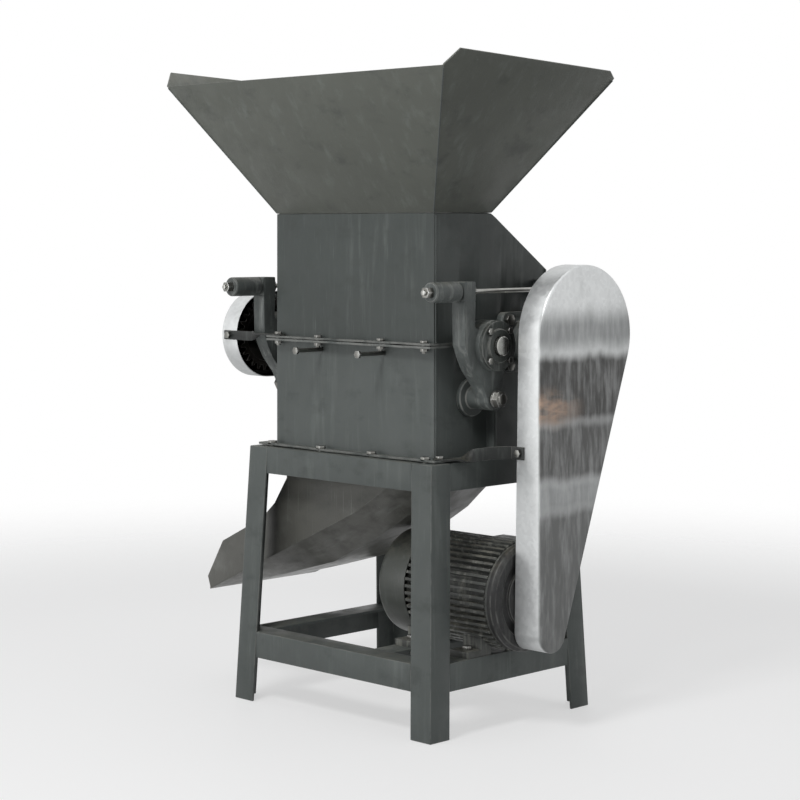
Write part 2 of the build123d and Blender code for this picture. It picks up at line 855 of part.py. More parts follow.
def lever_arm(sign, inner_x, name):
    """Cast arm: an eye for the rod at the top, a bearing boss, and a pivot boss below."""
    face = side(sign * inner_x)
    with BuildPart() as piece:
        with BuildSketch(face) as limb:
            Polygon(
                (eye_front, eye_z - eye_height / 2),
                (eye_front + 2.0, split_z + 2.0),
                (eye_front + 12.0, split_z - 21.0),
                (eye_front + 24.0, split_z - 43.0),
                (eye_front + 48.0, split_z - 71.0),
                (pivot_y - pivot_boss_diameter / 3, pivot_z - 12.0),
                (pivot_y + pivot_boss_diameter / 2.3, pivot_z + 6.0),
                (-roller_y + 33.0, split_z - 34.0),
                (-roller_y, split_z + 20.0),
                (eye_back - 2.0, split_z + 33.0),
                (eye_back, eye_z - eye_height / 2),
                align=None,
            )
            corners = limb.vertices().sort_by(Axis.Y)
            fillet(corners.sort_by(Axis.Z)[1:-2], 8.0)
        extrude(amount=sign * arm_width)
        disc(face, [(-roller_y, split_z)], arm_boss_diameter / 2, sign * arm_boss_length)
        disc(face, [(pivot_y, pivot_z)], pivot_boss_diameter / 2, sign * arm_width)
        with BuildSketch(face):
            with Locations(((eye_front + eye_back) / 2, eye_z)):
                RectangleRounded(eye_depth, eye_height, 3.0)
        extrude(amount=sign * arm_width)
        disc(
            face, [(-roller_y, split_z)], shaft_diameter / 2 + 3.0, sign * arm_boss_length, Mode.SUBTRACT
        )
        seat = side(sign * (inner_x + arm_boss_length))
        disc(seat, [(-roller_y, split_z)], bearing_diameter / 2, -sign * bearing_length, Mode.SUBTRACT)
        disc(seat, cover_spots, cover_bolt / 2, -sign * 20.0, Mode.SUBTRACT)
        disc(face, [(pivot_y, pivot_z)], pivot_bolt / 2 + running_fit, sign * arm_width, Mode.SUBTRACT)
        rod_x = sign * (inner_x + arm_width / 2)
        rod_hole = rod_diameter / 2 + eye_bore_gap
        disc(front(eye_back), [(rod_x, eye_z)], rod_hole, eye_depth, Mode.SUBTRACT)
    keep(piece, name)


lever_arm(1, right_arm_x, "lever_arm_right")
lever_arm(-1, left_arm_x, "lever_arm_left")

with BuildPart() as front_bearings:
    for sign, end in ((1, right_boss_end), (-1, left_boss_end)):
        seat = side(sign * end)
        disc(seat, [(-roller_y, split_z)], bearing_diameter / 2, -sign * bearing_length)
        bore = shaft_diameter / 2 + running_fit
        disc(seat, [(-roller_y, split_z)], bore, -sign * bearing_length, Mode.SUBTRACT)
keep(front_bearings, "front_bearings")


def bearing_cover(sign, end, name):
    """Round cover on the arm's boss, stepped, with a hole for the end of the shaft."""
    seat = side(sign * end)
    with BuildPart() as piece:
        disc(seat, [(-roller_y, split_z)], cover_diameter / 2, sign * 0.6 * cover_wall)
        disc(seat, [(-roller_y, split_z)], cover_diameter / 2 - 14.0, sign * cover_wall)
        rims = piece.faces().filter_by(Axis.X).sort_by(Axis.X)
        rim = rims[-1] if sign > 0 else rims[0]
        chamfer(rim.edges(), 1.5)
        bore = shaft_end_diameter / 2 + 1.0
        disc(seat, [(-roller_y, split_z)], bore, sign * cover_wall, Mode.SUBTRACT)
        disc(seat, cover_spots, cover_bolt / 2, sign * cover_wall, Mode.SUBTRACT)
    keep(piece, name)


bearing_cover(1, right_boss_end, "bearing_cover_right")
bearing_cover(-1, left_boss_end, "bearing_cover_left")

with BuildPart() as cover_bolts:
    for sign, end in ((1, right_boss_end), (-1, left_boss_end)):
        head = side(sign * (end + 0.6 * cover_wall))
        hexagon(head, cover_spots, cover_bolt_flats, sign * cover_bolt_head)
        disc(head, cover_spots, cover_bolt / 2, -sign * cover_bolt_grip)
keep(cover_bolts, "cover_bolts")

# ------------------------------------------------------------------------------- pivots

with BuildPart() as pivot_brackets:
    for sign, inner_x in ((1, right_arm_x), (-1, left_arm_x)):
        wall = side(sign * housing_half_x)
        reach = inner_x - easy_gap - housing_half_x
        with BuildSketch(wall):
            with Locations((pivot_y, pivot_z)):
                Circle(pivot_plate_diameter / 2)
        extrude(amount=sign * pivot_plate_wall)
        disc(wall, [(pivot_y, pivot_z)], pivot_spacer_diameter / 2, sign * reach)
        disc(wall, [(pivot_y, pivot_z)], pivot_bolt / 2, sign * reach, Mode.SUBTRACT)
keep(pivot_brackets, "pivot_brackets")

with BuildPart() as pivot_bolts:
    for sign, inner_x in ((1, right_arm_x), (-1, left_arm_x)):
        washer_x = inner_x + arm_width + easy_gap
        nut_x = washer_x + pivot_washer_wall
        bolt_run = nut_x + pivot_nut_height + pivot_bolt_tail - housing_half_x
        spot = [(pivot_y, pivot_z)]
        disc(side(sign * housing_half_x), spot, pivot_bolt / 2, sign * bolt_run)
        disc(side(sign * washer_x), spot, pivot_washer_diameter / 2, sign * pivot_washer_wall)
        hexagon(side(sign * nut_x), spot, pivot_nut_flats, sign * pivot_nut_height)
keep(pivot_bolts, "pivot_bolts")

# ------------------------------------------------------------------------------- rods and springs

rod_spots = [(x, eye_z) for x in rod_xs]
with BuildPart() as tension_rods:
    disc(front(rod_back), rod_spots, rod_diameter / 2, rod_back - rod_front)
keep(tension_rods, "tension_rods")

with BuildPart() as rod_nuts:
    hexagon(front(cup_front), rod_spots, rod_nut_flats, rod_nut_height)
    hexagon(front(eye_back), rod_spots, rod_nut_flats, -rod_collar_height)
    hexagon(front(rod_anchor_y + rod_anchor_wall), rod_spots, rod_nut_flats, -rod_collar_height)
    disc(front(rod_back), rod_spots, rod_diameter / 2, rod_back - rod_front, Mode.SUBTRACT)
keep(rod_nuts, "rod_nuts")

with BuildPart() as spring_cups:
    disc(front(cup_mouth), rod_spots, cup_diameter / 2, cup_length)
    chamfer(spring_cups.edges().group_by(Axis.Y)[0].filter_by(GeomType.CIRCLE), 2.0)
    disc(
        front(cup_mouth), rod_spots, cup_diameter / 2 - cup_wall, cup_length - cup_floor, Mode.SUBTRACT
    )
    disc(front(cup_mouth), rod_spots, rod_diameter / 2, cup_length, Mode.SUBTRACT)
keep(spring_cups, "spring_cups")

with BuildPart() as rod_anchors:
    for sign, rod_x in zip((1, -1), rod_xs):
        reach = abs(rod_x) + rod_anchor_margin - housing_half_x
        spot = (sign * (housing_half_x + reach / 2), eye_z)
        back = front(rod_anchor_y + rod_anchor_wall)
        block(back, reach, rod_anchor_height, rod_anchor_wall, spot)
        gusset = (sign * (housing_half_x + rod_gusset / 2), eye_z)
        block(front(rod_anchor_y), rod_gusset, rod_anchor_height, rod_gusset, gusset)
    disc(back, rod_spots, rod_diameter / 2, rod_anchor_wall, Mode.SUBTRACT)
keep(rod_anchors, "rod_anchors")


def spring_points(rod_x):
    """Ends of the half turns, from the arm's eye toward the floor of the cup."""
    start = eye_front - spring_wire / 2
    points = []
    for number in range(2 * spring_turns + 1):
        swing = spring_mean_radius if number % 2 else -spring_mean_radius
        y = start - number * spring_pitch / 2
        points.append(Vector(machine_x + rod_x + swing, machine_y + y, eye_z))
    return points


def least_spring_gap(samples=48):
    """Smallest free distance between points of the coil that are over half a turn apart."""
    points = []
    ends = spring_points(0.0)
    for number, (first, second) in enumerate(zip(ends, ends[1:])):
        middle = (first + second) * 0.5
        arm = first - middle
        lift = Vector(0, 0, arm.length if number % 2 else -arm.length)
        for step in range(samples):
            angle = pi * step / samples
            points.append(middle + arm * cos(angle) + lift * sin(angle))
    apart = samples + samples // 2
    distances = [
        (points[i] - points[j]).length
        for i in range(0, len(points), 4)
        for j in range(i + apart, len(points), 4)
    ]
    return min(distances) - spring_wire


with BuildPart() as lever_springs:
    for rod_x in rod_xs:
        ends = spring_points(rod_x)
        with BuildLine() as coil:
            lead = ends[0] + Vector(0, 0, spring_wire)
            Line(lead, ends[0])
            for number, (first, second) in enumerate(zip(ends, ends[1:])):
                radius = (second - first).length / 2
                lift = Vector(0, 0, radius if number % 2 else -radius)
                ThreePointArc(first, (first + second) * 0.5 + lift, second)
            Line(ends[-1], ends[-1] + Vector(0, 0, spring_wire))
        with BuildSketch(Plane(origin=coil.line @ 0, z_dir=coil.line % 0)):
            Circle(spring_wire / 2)
        sweep(path=coil.line)
keep(lever_springs, "lever_springs")
print(f"least gap of a spring to itself {least_spring_gap():.2f}")

# ------------------------------------------------------------------------------- guards

with BuildPart() as gear_guard:
    with BuildSketch(side(gear_guard_x)):
        with Locations((0, split_z)):
            SlotCenterToCenter(roller_centres, 2 * gear_guard_radius)
    extrude(amount=gear_guard_depth)
    fillet(gear_guard.faces().sort_by(Axis.X)[0].edges(), 5.0)
    offset(amount=-guard_sheet, openings=gear_guard.faces().sort_by(Axis.X)[-1])
keep(gear_guard, "gear_guard")


def loop(big_centre, big_radius, small_centre, small_radius):
    """Closed line round two circles: two arcs joined by their outer tangents."""
    away = atan2(small_centre[1] - big_centre[1], small_centre[0] - big_centre[0])
    distance = hypot(small_centre[0] - big_centre[0], small_centre[1] - big_centre[1])
    half = acos((big_radius - small_radius) / distance)

    def touch(centre, radius, angle):
        return (centre[0] + radius * cos(angle), centre[1] + radius * sin(angle))

    big_1 = touch(big_centre, big_radius, away + half)
    big_2 = touch(big_centre, big_radius, away - half)
    small_1 = touch(small_centre, small_radius, away + half)
    small_2 = touch(small_centre, small_radius, away - half)
    ThreePointArc(big_1, touch(big_centre, big_radius, away + pi), big_2)
    Line(big_2, small_2)
    ThreePointArc(small_2, touch(small_centre, small_radius, away), small_1)
    Line(small_1, big_1)


belt_guard_small_y = belt_guard_big_y - belt_guard_big_radius + belt_guard_small_radius
belt_guard_front = belt_guard_big_y - belt_guard_big_radius
belt_guard_top = belt_guard_big_z + belt_guard_big_radius
belt_guard_bottom = belt_guard_small_z - belt_guard_small_radius
with BuildPart() as belt_guard:
    with BuildSketch(side(belt_guard_face)):
        with BuildLine():
            loop(
                (belt_guard_big_y, belt_guard_big_z),
                belt_guard_big_radius,
                (belt_guard_small_y, belt_guard_small_z),
                belt_guard_small_radius,
            )
        make_face()
    extrude(amount=belt_guard_low_edge - belt_guard_face)
    fillet(belt_guard.faces().sort_by(Axis.X)[-1].edges(), 4.0)
    offset(amount=-guard_sheet, openings=belt_guard.faces().sort_by(Axis.X)[0])
    with BuildSketch(front(-stand_half_y)):
        Polygon(
            (belt_guard_low_edge - angle_wall, belt_guard_bottom),
            (belt_guard_low_edge, belt_guard_bottom),
            (belt_guard_high_edge, belt_guard_top),
            (belt_guard_low_edge - angle_wall, belt_guard_top),
            align=None,
        )
    extrude(amount=-2 * stand_half_x, mode=Mode.SUBTRACT)
keep(belt_guard, "belt_guard")


def strap(name, stations, width, hole_spots):
    """Flat bar twisted from lying flat to standing on edge; stations give place and twist."""
    with BuildPart() as piece:
        sections = []
        for place, heading, twist in stations:
            run = Vector(cos(radians(heading)), sin(radians(heading)), 0)
            across = Vector(-sin(radians(heading)), cos(radians(heading)), 0)
            across = across.rotate(Axis((0, 0, 0), run), twist)
            origin = Vector(machine_x, machine_y, 0) + Vector(*place)
            with BuildSketch(Plane(origin=origin, x_dir=across, z_dir=run)) as section:
                Rectangle(width, strap_wall)
            sections.append(section.sketch)
        loft(sections, ruled=True)
        for plane, spot, diameter in hole_spots:
            disc(plane, [spot], (diameter + bolt_clearance) / 2, -2 * strap_wall, Mode.SUBTRACT)
    keep(piece, name)


guard_bolt = 8.0
gear_guard_front = -roller_y - gear_guard_radius
flat_z = flange_high_z + strap_wall / 2
edge_y = gear_guard_front - strap_wall / 2
gear_strap_end = 12.0
gear_strap_tip = gear_guard_x + gear_strap_end
gear_strap_turn = gear_x + 94.0
gear_strap_bolt = (gear_x - 2.0, split_z)
strap(
    "gear_guard_strap",
    [
        ((-middle_bolt_outer + gear_strap_end, -middle_bolt_y, flat_z), 180.0, 0.0),
        ((gear_strap_turn, -middle_bolt_y, flat_z), 180.0, 0.0),
        ((gear_strap_turn - 7.0, -middle_bolt_y + 1.0, flat_z - 0.5), 180.0, 22.0),
        ((gear_strap_turn - 13.0, -middle_bolt_y + 3.0, flat_z - 2.0), 180.0, 45.0),
        ((gear_strap_turn - 20.0, edge_y - 2.0, flat_z - 3.5), 180.0, 68.0),
        ((gear_strap_turn - 28.0, edge_y, flat_z - 5.5), 180.0, 90.0),
        ((gear_strap_tip, edge_y, flat_z - 5.5), 180.0, 90.0),
    ],
    gear_strap_width,
    [
        (ground(flange_high_z + 2 * strap_wall), strap_bolt_spot, middle_bolt),
        (front(gear_guard_front - 2 * strap_wall), gear_strap_bolt, guard_bolt),
    ],
)

belt_edge_y = belt_guard_front - strap_wall / 2
belt_flat_z = base_z + strap_wall / 2
foot_x = housing_half_x + 15.0
foot_y = -housing_half_y - 1.0
belt_strap_bolt = (belt_guard_low_edge + 12.0, belt_strap_height)
strap(
    "belt_guard_strap",
    [
        ((foot_x - 6.0, foot_y - 8.0, belt_flat_z), 52.0, 0.0),
        ((foot_x + 24.0, foot_y + 30.5, belt_flat_z), 52.0, 0.0),
        ((foot_x + 28.0, foot_y + 36.0, belt_flat_z + 1.0), 52.0, 22.0),
        ((foot_x + 32.5, foot_y + 42.0, belt_flat_z + 4.0), 52.0, 45.0),
        ((foot_x + 37.0, foot_y + 48.0, belt_flat_z + 7.0), 52.0, 68.0),
        ((foot_x + 43.0, foot_y + 56.0, belt_strap_height - 3.0), 50.0, 90.0),
        ((belt_guard_low_edge - 21.0, belt_edge_y - 19.7, belt_strap_height), 42.0, 90.0),
        ((belt_guard_low_edge - 4.0, belt_edge_y, belt_strap_height), 0.0, 90.0),
        ((belt_guard_low_edge + 24.0, belt_edge_y, belt_strap_height), 0.0, 90.0),
    ],
    belt_strap_width,
    [
        (ground(base_z + 2 * strap_wall), (foot_x, foot_y), guard_bolt),
        (front(belt_guard_front - 2 * strap_wall), belt_strap_bolt, guard_bolt),
    ],
)

unit_bolt_flats = 19.0
unit_bolt_head = 8.0
with BuildPart() as side_bolts:
    for sign in (-1, 1):
        head = side(sign * (housing_half_x + unit_wall))
        hexagon(head, unit_spots, unit_bolt_flats, sign * unit_bolt_head)
        disc(head, unit_spots, unit_bolt / 2, -sign * (unit_wall + housing_sheet))
    bolts(front(gear_guard_front - strap_wall), [gear_strap_bolt], guard_bolt, strap_wall)
    bolts(ground(base_z + strap_wall), [(foot_x, foot_y)], guard_bolt, strap_wall)
    bolts(front(belt_guard_front - strap_wall), [belt_strap_bolt], guard_bolt, strap_wall)
keep(side_bolts, "side_bolts")

# ------------------------------------------------------------------------------- belt drive

driven_centre = (roller_y, split_z)
motor_centre = (motor_y, motor_z)
groove_xs = [pulley_x + pulley_width / 2 + s * groove_pitch / 2 for s in (-1, 1)]


def groove_half(depth):
    """Half width of a belt groove at a depth under the rim."""
    return (groove_top - (groove_top - groove_bottom) * depth / groove_depth) / 2


def pulley(name, centre, radius, bore, hub_radius, web_wall):
    """Pulley with two belt grooves, a web and a hub, made by turning."""
    middle = pulley_x + pulley_width / 2
    with BuildPart() as piece:
        disc(side(pulley_x), [centre], radius, pulley_width)
        for groove_x in groove_xs:
            with BuildSketch(Plane(
                origin=(machine_x + groove_x, machine_y + centre[0], centre[1]),
                x_dir=(1, 0, 0),
                z_dir=(0, -1, 0),
            )):
                Polygon(
                    (-groove_half(0.0), radius),
                    (-groove_half(groove_depth), radius - groove_depth),
                    (groove_half(groove_depth), radius - groove_depth),
                    (groove_half(0.0), radius),
                    align=None,
                )
            spindle = Axis((machine_x, machine_y + centre[0], centre[1]), (1, 0, 0))
            revolve(axis=spindle, mode=Mode.SUBTRACT)
        if web_wall:
            recess = (pulley_width - web_wall) / 2
            for start, amount in ((pulley_x, recess), (pulley_x + pulley_width, -recess)):
                with BuildSketch(side(start)):
                    with Locations(centre):
                        Circle(radius - groove_depth - 8.0)
                        Circle(hub_radius, mode=Mode.SUBTRACT)
                extrude(amount=amount, mode=Mode.SUBTRACT)
            with BuildSketch(side(middle - web_wall)):
                with Locations(centre):
                    with PolarLocations((radius - groove_depth - 8.0 + hub_radius) / 2, 5):
                        Circle(13.0)
            extrude(amount=2 * web_wall, mode=Mode.SUBTRACT)
        disc(side(pulley_x), [centre], bore, pulley_width, Mode.SUBTRACT)
    keep(piece, name)


pulley("driven_pulley", driven_centre, driven_pulley_radius, shaft_end_diameter / 2, 34.0, 12.0)
pulley("motor_pulley", motor_centre, motor_pulley_radius, motor_shaft / 2, 0.0, 0.0)

belt_top_depth = 1.0
belt_low_depth = belt_top_depth + belt_height
with BuildPart() as drive_belts:
    for groove_x in groove_xs:
        with BuildLine(side(groove_x)) as run:
            loop(
                driven_centre,
                driven_pulley_radius - belt_top_depth,
                motor_centre,
                motor_pulley_radius - belt_top_depth,
            )
        start = run.line @ 0
        outward = (start - Vector(machine_x + groove_x, machine_y + roller_y, split_z)).normalized()
        with BuildSketch(Plane(origin=start, x_dir=(1, 0, 0), z_dir=Vector(1, 0, 0).cross(outward))):
            top = groove_half(belt_top_depth) - easy_gap
            low = groove_half(belt_low_depth) - easy_gap
            Polygon((-top, 0), (-low, -belt_height), (low, -belt_height), (top, 0), align=None)
        sweep(path=run.line)
keep(drive_belts, "drive_belts")

# ------------------------------------------------------------------------------- motor


def motor_ring(start, length, radius, mode=Mode.ADD):
    disc(side(start), [motor_centre], radius, length, mode)


motor_bore = motor_core_radius - motor_core_wall
motor_cowl_radius = motor_fin_radius
motor_fin_depth = motor_fin_radius - motor_core_radius
foot_spots = [(x, y) for x in (motor_foot_x, drive_foot_x) for y in (front_foot_y, back_foot_y)]
with BuildPart() as motor_body:
    for foot_x, foot_y in foot_spots:
        pad = ground(lower_rail_top)
        block(pad, motor_foot_length, motor_foot_width, motor_foot_wall, (foot_x, foot_y))
        web_y = foot_y + (motor_web_width if foot_y < motor_y else -motor_web_width)
        block(pad, motor_foot_length, motor_web_width, motor_web_height, (foot_x, web_y))
    cowl_room = motor_cowl_right - motor_cowl_left + easy_gap
    motor_ring(motor_cowl_left, cowl_room, motor_cowl_radius + easy_gap, Mode.SUBTRACT)
    with BuildSketch(side(motor_fins_left)):
        with Locations(motor_centre):
            Circle(motor_fin_radius)
            with PolarLocations(motor_core_radius + motor_fin_depth, motor_fin_count):
                Rectangle(2 * motor_fin_depth, motor_fin_gap, mode=Mode.SUBTRACT)
            Circle(motor_core_radius)
    extrude(amount=motor_body_right - motor_rim_length - motor_fins_left)
    motor_ring(motor_body_left, motor_body_right - motor_body_left, motor_core_radius)
    motor_ring(motor_body_right - motor_rim_length, motor_rim_length, motor_fin_radius - 3.0)
    foot_hole = (motor_bolt + bolt_clearance) / 2
    disc(ground(lower_rail_top), foot_spots, foot_hole, motor_foot_wall, Mode.SUBTRACT)
    motor_ring(motor_body_left, motor_body_right - motor_body_left, motor_bore, Mode.SUBTRACT)
keep(motor_body, "motor_body")

shield_bore = motor_shaft / 2 + running_fit
shield_recess = 5.0
cowl_inside = motor_cowl_radius - motor_cowl_sheet
with BuildPart() as motor_end_shields:
    motor_ring(motor_body_right, motor_shield_wall, motor_fin_radius - 1.0)
    chamfer(motor_end_shields.edges().group_by(Axis.X)[-1], motor_shield_chamfer)
    with BuildSketch(side(motor_body_right + motor_shield_wall)):
        with Locations(motor_centre):
            Circle(motor_core_radius - 2 * motor_shield_chamfer)
            Circle(2 * motor_shaft, mode=Mode.SUBTRACT)
    extrude(amount=-shield_recess, mode=Mode.SUBTRACT)
    motor_ring(motor_body_left - motor_shield_wall, motor_shield_wall, cowl_inside - easy_gap)
    motor_ring(motor_body_right, shield_recess, motor_bore, Mode.SUBTRACT)
    motor_ring(motor_body_left - shield_recess, shield_recess, motor_bore - 8.0, Mode.SUBTRACT)
    shield_start = motor_body_left - motor_shield_wall
    shield_run = motor_body_right + motor_shield_wall - shield_start
    motor_ring(shield_start, shield_run, shield_bore, Mode.SUBTRACT)
keep(motor_end_shields, "motor_end_shields")

with BuildPart() as motor_fan_cowl:
    motor_ring(motor_cowl_left, motor_cowl_right - motor_cowl_left, motor_cowl_radius)
    fillet(motor_fan_cowl.edges().group_by(Axis.X)[0], 16.0)
    offset(amount=-motor_cowl_sheet, openings=motor_fan_cowl.faces().sort_by(Axis.X)[-1])
    with BuildSketch(side(motor_cowl_left)):
        with Locations(motor_centre):
            for ring_radius, count in ((22.0, 6), (40.0, 10), (58.0, 14), (76.0, 18)):
                with PolarLocations(ring_radius, count):
                    Rectangle(12.0, 6.0)
    extrude(amount=motor_cowl_sheet, mode=Mode.SUBTRACT)
keep(motor_fan_cowl, "motor_fan_cowl")

fan_left = motor_cowl_left + 12.0
fan_radius = cowl_inside - 12.0
fan_disc_wall = 4.0
with BuildPart() as motor_fan:
    motor_ring(fan_left, motor_fan_length, motor_shaft)
    motor_ring(fan_left + motor_fan_length - 2 * fan_disc_wall, fan_disc_wall, fan_radius)
    with BuildSketch(side(fan_left)):
        with Locations(motor_centre):
            with PolarLocations((motor_shaft + fan_radius) / 2 - 2.0, 8):
                Rectangle(fan_radius - motor_shaft, 3.0)
    extrude(amount=motor_fan_length - fan_disc_wall)
    motor_ring(fan_left, motor_fan_length, motor_shaft / 2, Mode.SUBTRACT)
keep(motor_fan, "motor_fan")

rotor_inset = 16.0
rotor_gap = 6.0
with BuildPart() as motor_rotor:
    motor_ring(fan_left, motor_shaft_end - fan_left, motor_shaft / 2)
    rotor_run = motor_body_right - motor_body_left - 2 * rotor_inset
    motor_ring(motor_body_left + rotor_inset, rotor_run, motor_bore - rotor_gap)
    chamfer(motor_rotor.edges().group_by(Axis.X)[-1], 1.5)
keep(motor_rotor, "motor_rotor")

box_x = (motor_foot_x + drive_foot_x) / 2
gland_neck = 8.0
with BuildPart() as motor_terminal_box:
    box_face = front(motor_y + motor_fin_radius + terminal_box_depth)
    box_spot = (box_x, motor_z + terminal_box_rise)
    block(box_face, 2 * terminal_box_half, 2 * terminal_box_half, terminal_box_depth, box_spot)
    fillet(motor_terminal_box.edges().filter_by(Axis.Y), 8.0)
    fillet(motor_terminal_box.faces().sort_by(Axis.Y)[-1].edges(), 4.0)
    neck_width = 1.3 * terminal_box_half
    block(front(motor_y + motor_fin_radius), neck_width, neck_width, 2 * motor_fin_depth, box_spot)
    motor_ring(motor_body_left, motor_body_right - motor_body_left, motor_fin_radius, Mode.SUBTRACT)
    gland_spot = [(box_x, motor_y + motor_fin_radius + terminal_box_depth / 2)]
    gland_plane = ground(motor_z + terminal_box_rise - terminal_box_half)
    hexagon(gland_plane, gland_spot, 27.0, -gland_neck)
    disc(gland_plane, gland_spot, 10.0, -gland_length)
    disc(gland_plane.offset(-gland_length), gland_spot, gland_bore / 2, gland_length, Mode.SUBTRACT)
keep(motor_terminal_box, "motor_terminal_box")

with BuildPart() as motor_bolts:
    foot_top = ground(lower_rail_top + motor_foot_wall)
    bolts(foot_top, foot_spots, motor_bolt, 30.0, motor_foot_wall + angle_wall)
keep(motor_bolts, "motor_bolts")

# ------------------------------------------------------------------------------- scrapers


def scraper(sign, name, bolt_name):
    """Bent scraper blade under a roller, and the bolts that pass through the wall to it."""
    outer = scraper_y + scraper_wall
    bend_z = scraper_top - scraper_height
    tip_z = bend_z - scraper_slope
    tip_y = roller_y + scraper_blade_reach
    with BuildPart() as piece:
        with BuildSketch(side(-scraper_half_length)):
            Polygon(
                (sign * outer, scraper_top),
                (sign * outer, bend_z - scraper_wall / 2),
                (sign * (tip_y + scraper_wall), tip_z - scraper_wall / 2),
                (sign * tip_y, tip_z + scraper_wall / 2),
                (sign * scraper_y, bend_z + scraper_wall / 2),
                (sign * scraper_y, scraper_top),
                align=None,
            )
        extrude(amount=2 * scraper_half_length)
    keep(piece, name)
    with BuildPart() as piece:
        run = adjuster_end - outer
        disc(front(sign * outer), adjuster_spots, adjuster_diameter / 2, -sign * run)
        hexagon(front(sign * adjuster_end), adjuster_spots, adjuster_head_flats, sign * adjuster_head)
    keep(piece, bolt_name)


scraper(-1, "scraper_front", "scraper_bolts_front")
scraper(1, "scraper_back", "scraper_bolts_back")
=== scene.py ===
import json
from math import radians

import bmesh
import bpy
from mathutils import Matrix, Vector, noise

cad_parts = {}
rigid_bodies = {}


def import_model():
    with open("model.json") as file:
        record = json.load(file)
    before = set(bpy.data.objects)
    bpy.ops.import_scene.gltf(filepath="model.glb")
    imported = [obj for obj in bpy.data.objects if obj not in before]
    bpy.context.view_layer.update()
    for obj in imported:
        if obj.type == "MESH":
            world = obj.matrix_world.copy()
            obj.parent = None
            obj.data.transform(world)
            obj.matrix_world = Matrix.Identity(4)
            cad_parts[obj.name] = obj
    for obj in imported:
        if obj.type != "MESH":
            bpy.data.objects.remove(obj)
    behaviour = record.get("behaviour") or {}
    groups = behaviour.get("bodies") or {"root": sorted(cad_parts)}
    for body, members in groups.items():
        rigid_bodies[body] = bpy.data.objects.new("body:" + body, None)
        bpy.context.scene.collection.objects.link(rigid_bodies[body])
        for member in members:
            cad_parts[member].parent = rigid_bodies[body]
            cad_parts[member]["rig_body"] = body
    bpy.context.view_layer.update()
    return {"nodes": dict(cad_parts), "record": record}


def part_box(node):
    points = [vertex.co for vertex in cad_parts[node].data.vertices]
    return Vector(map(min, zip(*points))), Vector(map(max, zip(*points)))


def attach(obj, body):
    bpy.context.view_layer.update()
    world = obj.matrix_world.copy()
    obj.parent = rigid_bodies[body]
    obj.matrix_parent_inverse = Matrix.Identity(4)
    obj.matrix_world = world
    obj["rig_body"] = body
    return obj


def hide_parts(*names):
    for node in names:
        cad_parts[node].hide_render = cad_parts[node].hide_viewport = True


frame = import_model()
nodes = frame["nodes"]

# ------------------------------------------------------------------ places read from the frame

MM = 0.001
housing_low, housing_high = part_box("lower_housing")
hopper_low, hopper_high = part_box("hopper")
guard_low, guard_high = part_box("belt_guard")
machine_x = (hopper_low.x + hopper_high.x) / 2
machine_y = (housing_low.y + housing_high.y) / 2


def at(x, y, z):
    """A point given in the machine's own millimetres: housing middle, roller nip, floor."""
    return Vector((machine_x + x * MM, machine_y + y * MM, z * MM))


# Millimetres: how far the flanges stand out from the housing's walls, and where those walls are.
BASE_FLANGE_REACH = 25.0
FLANGE_REACH = 20.0
FLANGE_RIM = 8.5
FLANGE_BAND = 4.1
HOUSING_HALF_X = (housing_high.x - housing_low.x) / 2 / MM - BASE_FLANGE_REACH
HOUSING_HALF_Y = (housing_high.y - housing_low.y) / 2 / MM - BASE_FLANGE_REACH

# ------------------------------------------------------------------ colours


def shade(red, green, blue):
    """A colour from its screen values, as the shader wants it."""
    linear = [
        (((level / 255) + 0.055) / 1.055) ** 2.4 if level > 10 else level / 255 / 12.92
        for level in (red, green, blue)
    ]
    return (*linear, 1.0)


SLATE = shade(87, 92, 90)
SLATE_PALE = shade(125, 131, 127)
SLATE_DEEP = shade(54, 58, 55)
# Painted shade: the upper housing's slate is the housing paint written darker, for the shade under the
# hopper's overhang.
UPPER_SLATE_SHADED = shade(69, 74, 72)
STRAP_BLACK = shade(37, 39, 38)
COVER_IRON = shade(67, 71, 68)
HOPPER_GREY = shade(97, 100, 93)
CHUTE_GREY = shade(92, 92, 87)
CAST_GREY = shade(92, 97, 95)
CAST_PALE = shade(153, 156, 153)
BARE_STEEL = shade(172, 172, 168)
BOLT_GREY = shade(128, 128, 124)
DULL_STEEL = shade(140, 140, 136)
DARK_STEEL = shade(111, 109, 105)
RUST = shade(172, 148, 130)
ZINC = shade(214, 216, 216)
ZINC_PALE = shade(238, 240, 240)
ZINC_DULL = shade(160, 162, 161)
ZINC_SHADE = shade(132, 134, 134)
# Painted reflection tones for the belt guard's bands.
REFLECTION_DARK = shade(73, 73, 72)
REFLECTION_GREY = shade(84, 85, 84)
MOTOR_GREY = shade(86, 88, 85)
# Pale fin streaks for the motor, partly a painted highlight on its glossy fins.
MOTOR_PALE_AND_HIGHLIGHT = shade(167, 167, 158)
COWL_GREY = shade(74, 77, 73)
DUST = shade(165, 160, 145)
RUBBER = shade(37, 37, 37)
PLASTIC = shade(47, 47, 47)
# Near-black oil and grease: real grime on bare steel, and also painted shade inside the guards and on the
# gears.
OIL_AND_SHADE = shade(26, 24, 22)
GREASE_AND_SHADE = shade(46, 43, 39)

# ------------------------------------------------------------------ shared node groups


def make_group(name, inputs, outputs):
    """An empty shader node group with named sockets; inputs are (name, kind, value)."""
    group = bpy.data.node_groups.new(name, "ShaderNodeTree")
    for label, kind, value in inputs:
        socket = group.interface.new_socket(name=label, in_out="INPUT", socket_type=kind)
        socket.default_value = value
    for label, kind in outputs:
        group.interface.new_socket(name=label, in_out="OUTPUT", socket_type=kind)
    entry = group.nodes.new("NodeGroupInput")
    leave = group.nodes.new("NodeGroupOutput")
    return group, entry, leave


def add(tree, kind, links=None, **values):
    """A node in a tree, with its settings, socket values and incoming links."""
    node = tree.nodes.new(kind)
    for key, value in values.items():
        if key in node.inputs:
            node.inputs[key].default_value = value
        else:
            setattr(node, key, value)
    for key, source in (links or {}).items():
        tree.links.new(source, node.inputs[key])
    return node


